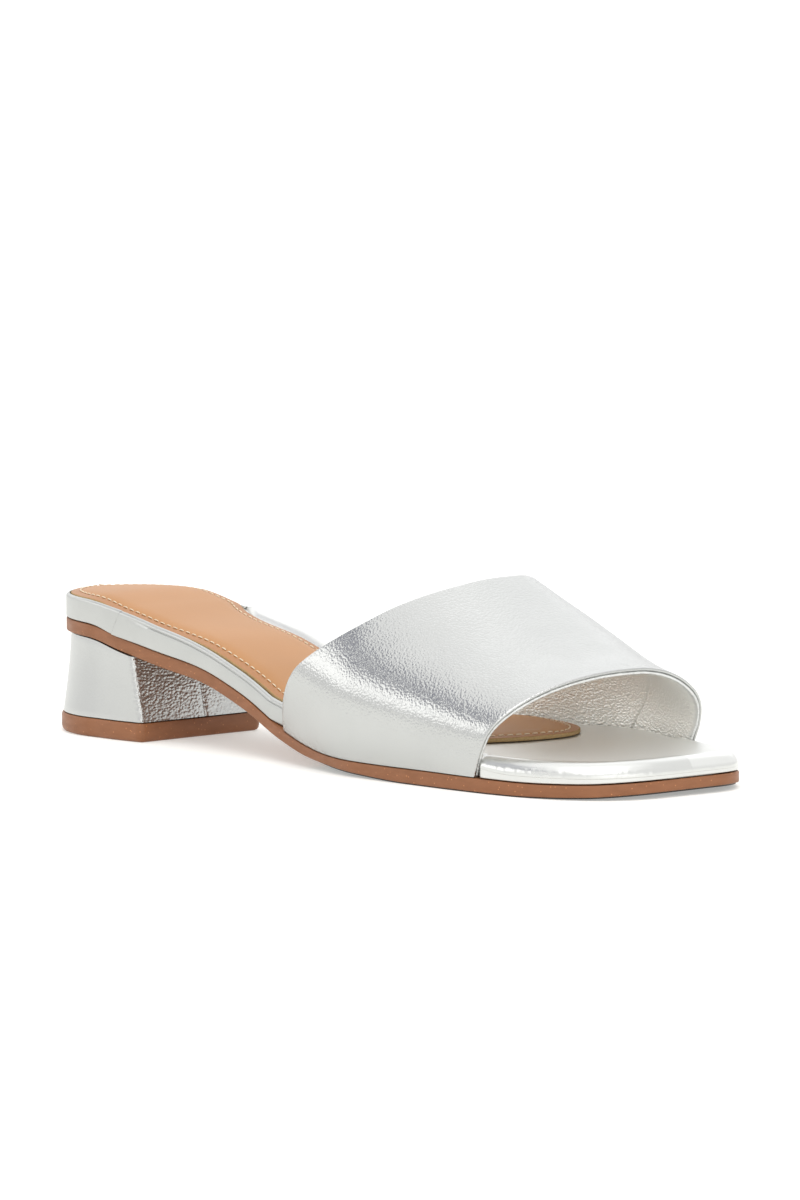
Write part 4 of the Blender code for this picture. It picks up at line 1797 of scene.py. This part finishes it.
@dataclass
class CoveredHeel:
    """Low block heel in silver leather, seamed down its breast, on a brown wearing piece."""

    form: ShoeForm
    place: Placement
    top_piece: float = 0.0055
    proud: float = 0.0005
    top_inset: float = 0.0005
    flare: float = 0.0042
    breast_flare: float = 0.0004
    corner: float = 0.0022
    breast: tuple[float, float] = (0.0508, 0.0470)
    back: tuple[float, float] = (0.0006, 0.0024)
    seam_side: float = 0.0003
    seam_width: float = 0.0006
    seam_depth: float = 0.0005
    end_inset: float = 0.0003
    levels: int = 22
    reach: float = 0.110
    outline_steps: int = 260
    flank_ribs: int = 60
    flank_crowding: float = 0.3
    corner_steps: int = 12
    breast_steps: int = 14
    across: int = 8
    crinkled: tuple[float, float] = (1.2, 0.1)
    #: Rows of the breast's seam: share of its width and share of its depth.
    seam_rows: tuple[Row, ...] = ((0.6, 0.25), (0.3, 0.8), (0.0, 1.0))
    #: Rows of the wearing piece's lower edge, and of its upper edge from the top down.
    low_rows: tuple[Row, ...] = ((0.0014, 0.0), (0.0006, 0.0003), (0.0002, 0.0008), (0.0, 0.0016))
    high_rows: tuple[Row, ...] = ((0.0, 0.0006), (0.0002, 0.0001), (0.0006, 0.0))

    def sides(self, back: float, breast: float, moved_in: float, seamed: bool = True) -> list[Outline]:
        """Plan of the heel at one height, as its outer and inner side.

        Args:
            back: Where its back lies.
            breast: Where its breast lies.
            moved_in: How far its flanks lie inside the sole's outline.
            seamed: Whether the breast has its seam.

        Returns:
            The two sides, which share the middle of the back and the breast's seam.
        """
        made = []
        widths, depths = np.array(self.seam_rows).T
        for flank in Flank:
            sole = self.form.outline(flank).part(0, self.reach, self.outline_steps, 0.0)
            ahead = np.clip(sole.points[:, 0] / self.breast[1], 0, 1)
            line = sole.moved_in(moved_in * (1 - ahead) - self.breast_flare * ahead)
            first = line[0, 0]
            line[:, 0] = breast - (breast - line[:, 0]) * (breast - back) / (breast - first)
            before = float(np.interp(breast - self.corner, line[:, 0], line[:, 1]))
            at = float(np.interp(breast, line[:, 0], line[:, 1]))
            behind = line[line[:, 0] < breast - self.corner]
            run = Outline.through(np.concatenate([behind, [[breast - self.corner, before]]]), flank)
            side = run.part(0, run.lengths()[-1], self.flank_ribs, self.flank_crowding).points
            t = np.linspace(0, 1, self.corner_steps)[1:, None]
            end = np.array([breast, at - flank.value * self.corner])
            turn = side[-1] * (1 - t) ** 2 + 2 * np.array([breast, at]) * t * (1 - t) + end * t * t
            seam_edge = self.seam_side + flank.value * self.seam_width
            wide = np.linspace(end[1], seam_edge, self.breast_steps)[1:]
            front = np.concatenate([wide, self.seam_side + flank.value * self.seam_width * widths])
            groove = self.seam_depth * np.concatenate([np.zeros(len(wide)), depths]) * seamed
            face = np.stack([breast - groove, front], -1)
            made.append(Outline.through(np.concatenate([side, turn, face]), flank))
        return made

    def build(self, cover: bpy.types.Material, wearing: bpy.types.Material) -> None:
        """Builds and dresses the covered block and its wearing piece.

        Args:
            cover: Material of the block.
            wearing: Material of the wearing piece.
        """
        self._block(cover)
        self._wearing_piece(wearing)

    def _block(self, finish: bpy.types.Material) -> None:
        """Builds and dresses the covered block, its breast marked for the crinkles.

        Args:
            finish: Its material.
        """
        base = self.top_piece + self.form.clearance
        levels = []
        for level in range(self.levels + 1):
            share = level / self.levels
            back = self.back[0] + (self.back[1] - self.back[0]) * share
            breast = self.breast[0] + (self.breast[1] - self.breast[0]) * share
            moved_in = -self.flare + (self.flare + self.top_inset) * math.sin(share * math.pi / 2)
            if level in (0, self.levels):
                moved_in += self.end_inset
            loops, marks = [], []
            for side in self.sides(back, breast, moved_in):
                plan = side.points
                top = self.form.underside(plan[:, 0]) - self.form.clearance
                loops.append(np.column_stack([plan, base + (top - base) * share]))
                marks.append(ramp(plan[:, 0], *(breast - part * self.corner for part in self.crinkled)))
            levels.append(Level(*loops, {"breast": (marks[0], marks[1])}))
        block = RibbedShell(
            levels,
            bottom=lambda along, side, share: np.full(along.shape, base),
            top=lambda along, side, share: self.form.underside(along) - self.form.clearance,
            across=self.across,
        ).build()
        dress(block.piece("heel_cover", self.place, finish), Slot.HEEL, "heel_block")

    def _wearing_piece(self, finish: bpy.types.Material) -> None:
        """Builds and dresses the wearing piece, its lower edge worn round.

        Args:
            finish: Its material.
        """
        rows = [*self.low_rows, *((inset, self.top_piece - drop) for inset, drop in self.high_rows)]
        sides = self.sides(self.back[0], self.breast[0], -self.flare, seamed=False)
        levels = []
        for inset, height in rows:
            plans = [side.moved_in(inset - self.proud) for side in sides]
            levels.append(Level(*[np.column_stack([plan, np.full(len(plan), height)]) for plan in plans]))
        piece = RibbedShell(
            levels,
            bottom=lambda along, side, share: np.zeros(along.shape),
            top=lambda along, side, share: np.full(along.shape, self.top_piece),
            across=self.across,
        ).build()
        dress(piece.piece("wearing_piece", self.place, finish), Slot.TOP_PIECE, "top_piece")


@dataclass(frozen=True)
class Hung:
    """Something that hangs around the shoe and faces it: a lamp, or a card where it has no power.

    Its azimuth and elevation are in degrees, azimuth 0 towards -Y and 90 towards +X.
    """

    name: str
    azimuth: float
    elevation: float
    distance: float
    size: tuple[float, float]
    colour: Row
    power: float = 0.0

    def out(self) -> Vector:
        """Direction from the shoe towards it.

        Returns:
            The direction, of length 1.
        """
        turn, rise = math.radians(self.azimuth), math.radians(self.elevation)
        level = math.cos(rise)
        return Vector((math.sin(turn) * level, -math.cos(turn) * level, math.sin(rise)))

    def lamp(self) -> None:
        """Hangs it as a soft box."""
        light = bpy.data.lights.new(self.name, "AREA")
        light.shape = "RECTANGLE"
        light.size, light.size_y = self.size
        light.energy = self.power
        light.color = self.colour
        made = linked(self.name, light)
        made.location = self.out() * self.distance
        made.rotation_euler = self.out().to_track_quat("Z", "Y").to_euler()

    def card(self) -> None:
        """Hangs it as a card that the camera doesn't see, as a photographer hangs a flag."""
        out = self.out()
        right = out.cross(Vector((0, 0, 1))).normalized()
        wide, high = right * (self.size[0] / 2), right.cross(out) * (self.size[1] / 2)
        middle = out * self.distance
        ends = [middle + wide * a + high * b for a, b in ((-1, -1), (1, -1), (1, 1), (-1, 1))]
        mesh = bpy.data.meshes.new(self.name)
        mesh.from_pydata([tuple(end) for end in ends], [], [(0, 1, 2, 3)])
        mesh.materials.append(Paper(self.name, self.colour, specular=0.5).material())
        made = linked(self.name, mesh)
        made.visible_camera = False


@dataclass
class Studio:
    """Pale level floor, an even light from all round, soft boxes, a dark card and the camera."""

    camera_at: Row = (-1.255932, -1.334750, 0.224638)
    camera_look: Row = (0.684199, 0.722713, -0.097762)
    lens: float = 195.38
    sensor: float = 36.0
    clip: tuple[float, float] = (0.01, 100.0)
    sky: float = 1.04
    rings: tuple[float, ...] = (0.5, 2.0, 6.0, 14.0, 30.0, 80.0)
    around: int = 64
    flag: Hung = Hung("flag_left", -146.0, 50.5, 2.6, (3.0, 0.50), (0.17, 0.1785, 0.2465))
    boxes: tuple[Hung, ...] = (
        Hung("box_left", -140.0, 28.0, 3.0, (2.8, 1.1), (1.0, 0.995, 0.98), 10.0),
        Hung("box_back", 140.0, 38.0, 3.0, (4.0, 2.6), (0.96, 0.98, 1.0), 15.0),
        Hung("box_low", -18.0, 13.0, 2.4, (2.6, 1.0), (1.0, 0.995, 0.97), 7.0),
        Hung("box_top", 0.0, 90.0, 2.6, (3.0, 3.0), (1.0, 1.0, 1.0), 10.0),
        Hung("box_front", -43.0, 60.0, 2.4, (1.7, 1.7), (1.0, 1.0, 1.0), 18.0),
    )

    def floor(self) -> None:
        """Builds the floor, a wide level disc."""
        shell = Shell()
        centre = shell.add((0.0, 0.0, 0.0))
        turns = [2 * math.pi * k / self.around for k in range(self.around)]
        grid = [
            [shell.add((radius * math.cos(turn), radius * math.sin(turn), 0.0)) for turn in turns]
            for radius in self.rings
        ]
        for k in range(self.around):
            j = (k + 1) % self.around
            shell.faces.append((centre, grid[0][k], grid[0][j]))
            shell.faces += [(near[k], far[k], far[j], near[j]) for near, far in zip(grid, grid[1:])]
        mesh = bpy.data.meshes.new("floor")
        mesh.from_pydata(shell.points, [], shell.faces)
        mesh.shade_smooth()
        mesh.materials.append(Paper("studio_paper", (0.70, 0.70, 0.68), glow=0.35).material())
        linked("floor", mesh)

    def camera(self) -> None:
        """Sets the camera at the photograph's place."""
        data = bpy.data.cameras.new("camera")
        data.sensor_fit = "VERTICAL"
        data.sensor_height = self.sensor
        data.lens = self.lens
        data.clip_start, data.clip_end = self.clip
        made = linked("camera", data)
        made.location = self.camera_at
        made.rotation_euler = Vector(self.camera_look).to_track_quat("-Z", "Y").to_euler()
        bpy.context.scene.camera = made

    def build(self) -> None:
        """Builds the floor, the lights and the camera."""
        self.floor()
        world = bpy.data.worlds.new("studio")
        world.use_nodes = True
        light = world.node_tree.nodes["Background"]
        light.inputs["Color"].default_value = (1.0, 1.0, 1.0, 1.0)
        light.inputs["Strength"].default_value = self.sky
        bpy.context.scene.world = world
        self.flag.card()
        for box in self.boxes:
            box.lamp()
        bpy.context.scene.view_settings.view_transform = "Standard"
        bpy.context.scene.view_settings.look = "None"
        self.camera()


def corners(bounds: tuple[Sequence[float], Sequence[float]]) -> list[list[float]]:
    """Plain lists from two corners."""
    return [[float(v) for v in corner] for corner in bounds]


def main() -> None:
    """Builds every part of the sandal and its studio, in order."""
    logging.basicConfig(level=logging.INFO, format="%(message)s")
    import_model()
    form = ShoeForm()
    place = Placement.from_frame(form)
    silver = SilverLeather("silver_leather", pebble=0.00066, grain_depth=0.00009, gloss=0.22).material()
    # The board's front mark is a painted highlight: its bright colour paints light on the toe and on the
    # inner arch side.
    board_silver = SilverLeather(
        "silver_board",
        tint=(0.50, 0.505, 0.49),
        grain_depth=0.00002,
        gloss=0.36,
        metal=0.85,
        smooth_mark="gloss",
        bright_mark="front",
        wrinkle_mark="wrinkled",
    ).material()
    # The lining's pale tint is partly its own light foil and partly painted light, made paler to brighten its
    # shaded inside; its rim mark brings the plainer silver back.
    lining_silver = SilverLeather(
        "silver_lining",
        tint=(0.95, 0.955, 0.915),
        grain_depth=0.00004,
        crinkle=0.00019,
        crinkle_size=0.0009,
        gloss=0.32,
        metal=0.35,
        bright_mark="rim",
        bright=(0.70, 0.705, 0.69),
    ).material()
    heel_silver = SilverLeather(
        "silver_heel", grain_depth=0.00002, crinkle=0.00015, crinkle_size=0.0011, crinkle_mark="breast"
    ).material()
    brown = BrownSole("brown_sole").material()
    sole = Outsole(form, place)
    sole.build(brown)
    # Near-black tread: partly the tread's own colour, partly painted contact shadow under the sole's edge.
    sole.build_tread(BrownSole("dark_tread_and_painted_shadow", colour=(0.035, 0.028, 0.025)).material())
    board = CoveredBoard(form, place)
    board.build(board_silver)
    seam = PaddedSock(form, place, board).build(TanLeather("tan_leather").material())
    StitchRow(place).build("sock_stitches", seam, Thread("cream_thread").material(), Slot.SOCK)
    BandUpper(form, place).build(silver, lining_silver)
    CoveredHeel(form, place).build(heel_silver, brown)
    Studio().build()


if __name__ == "__main__":
    main()
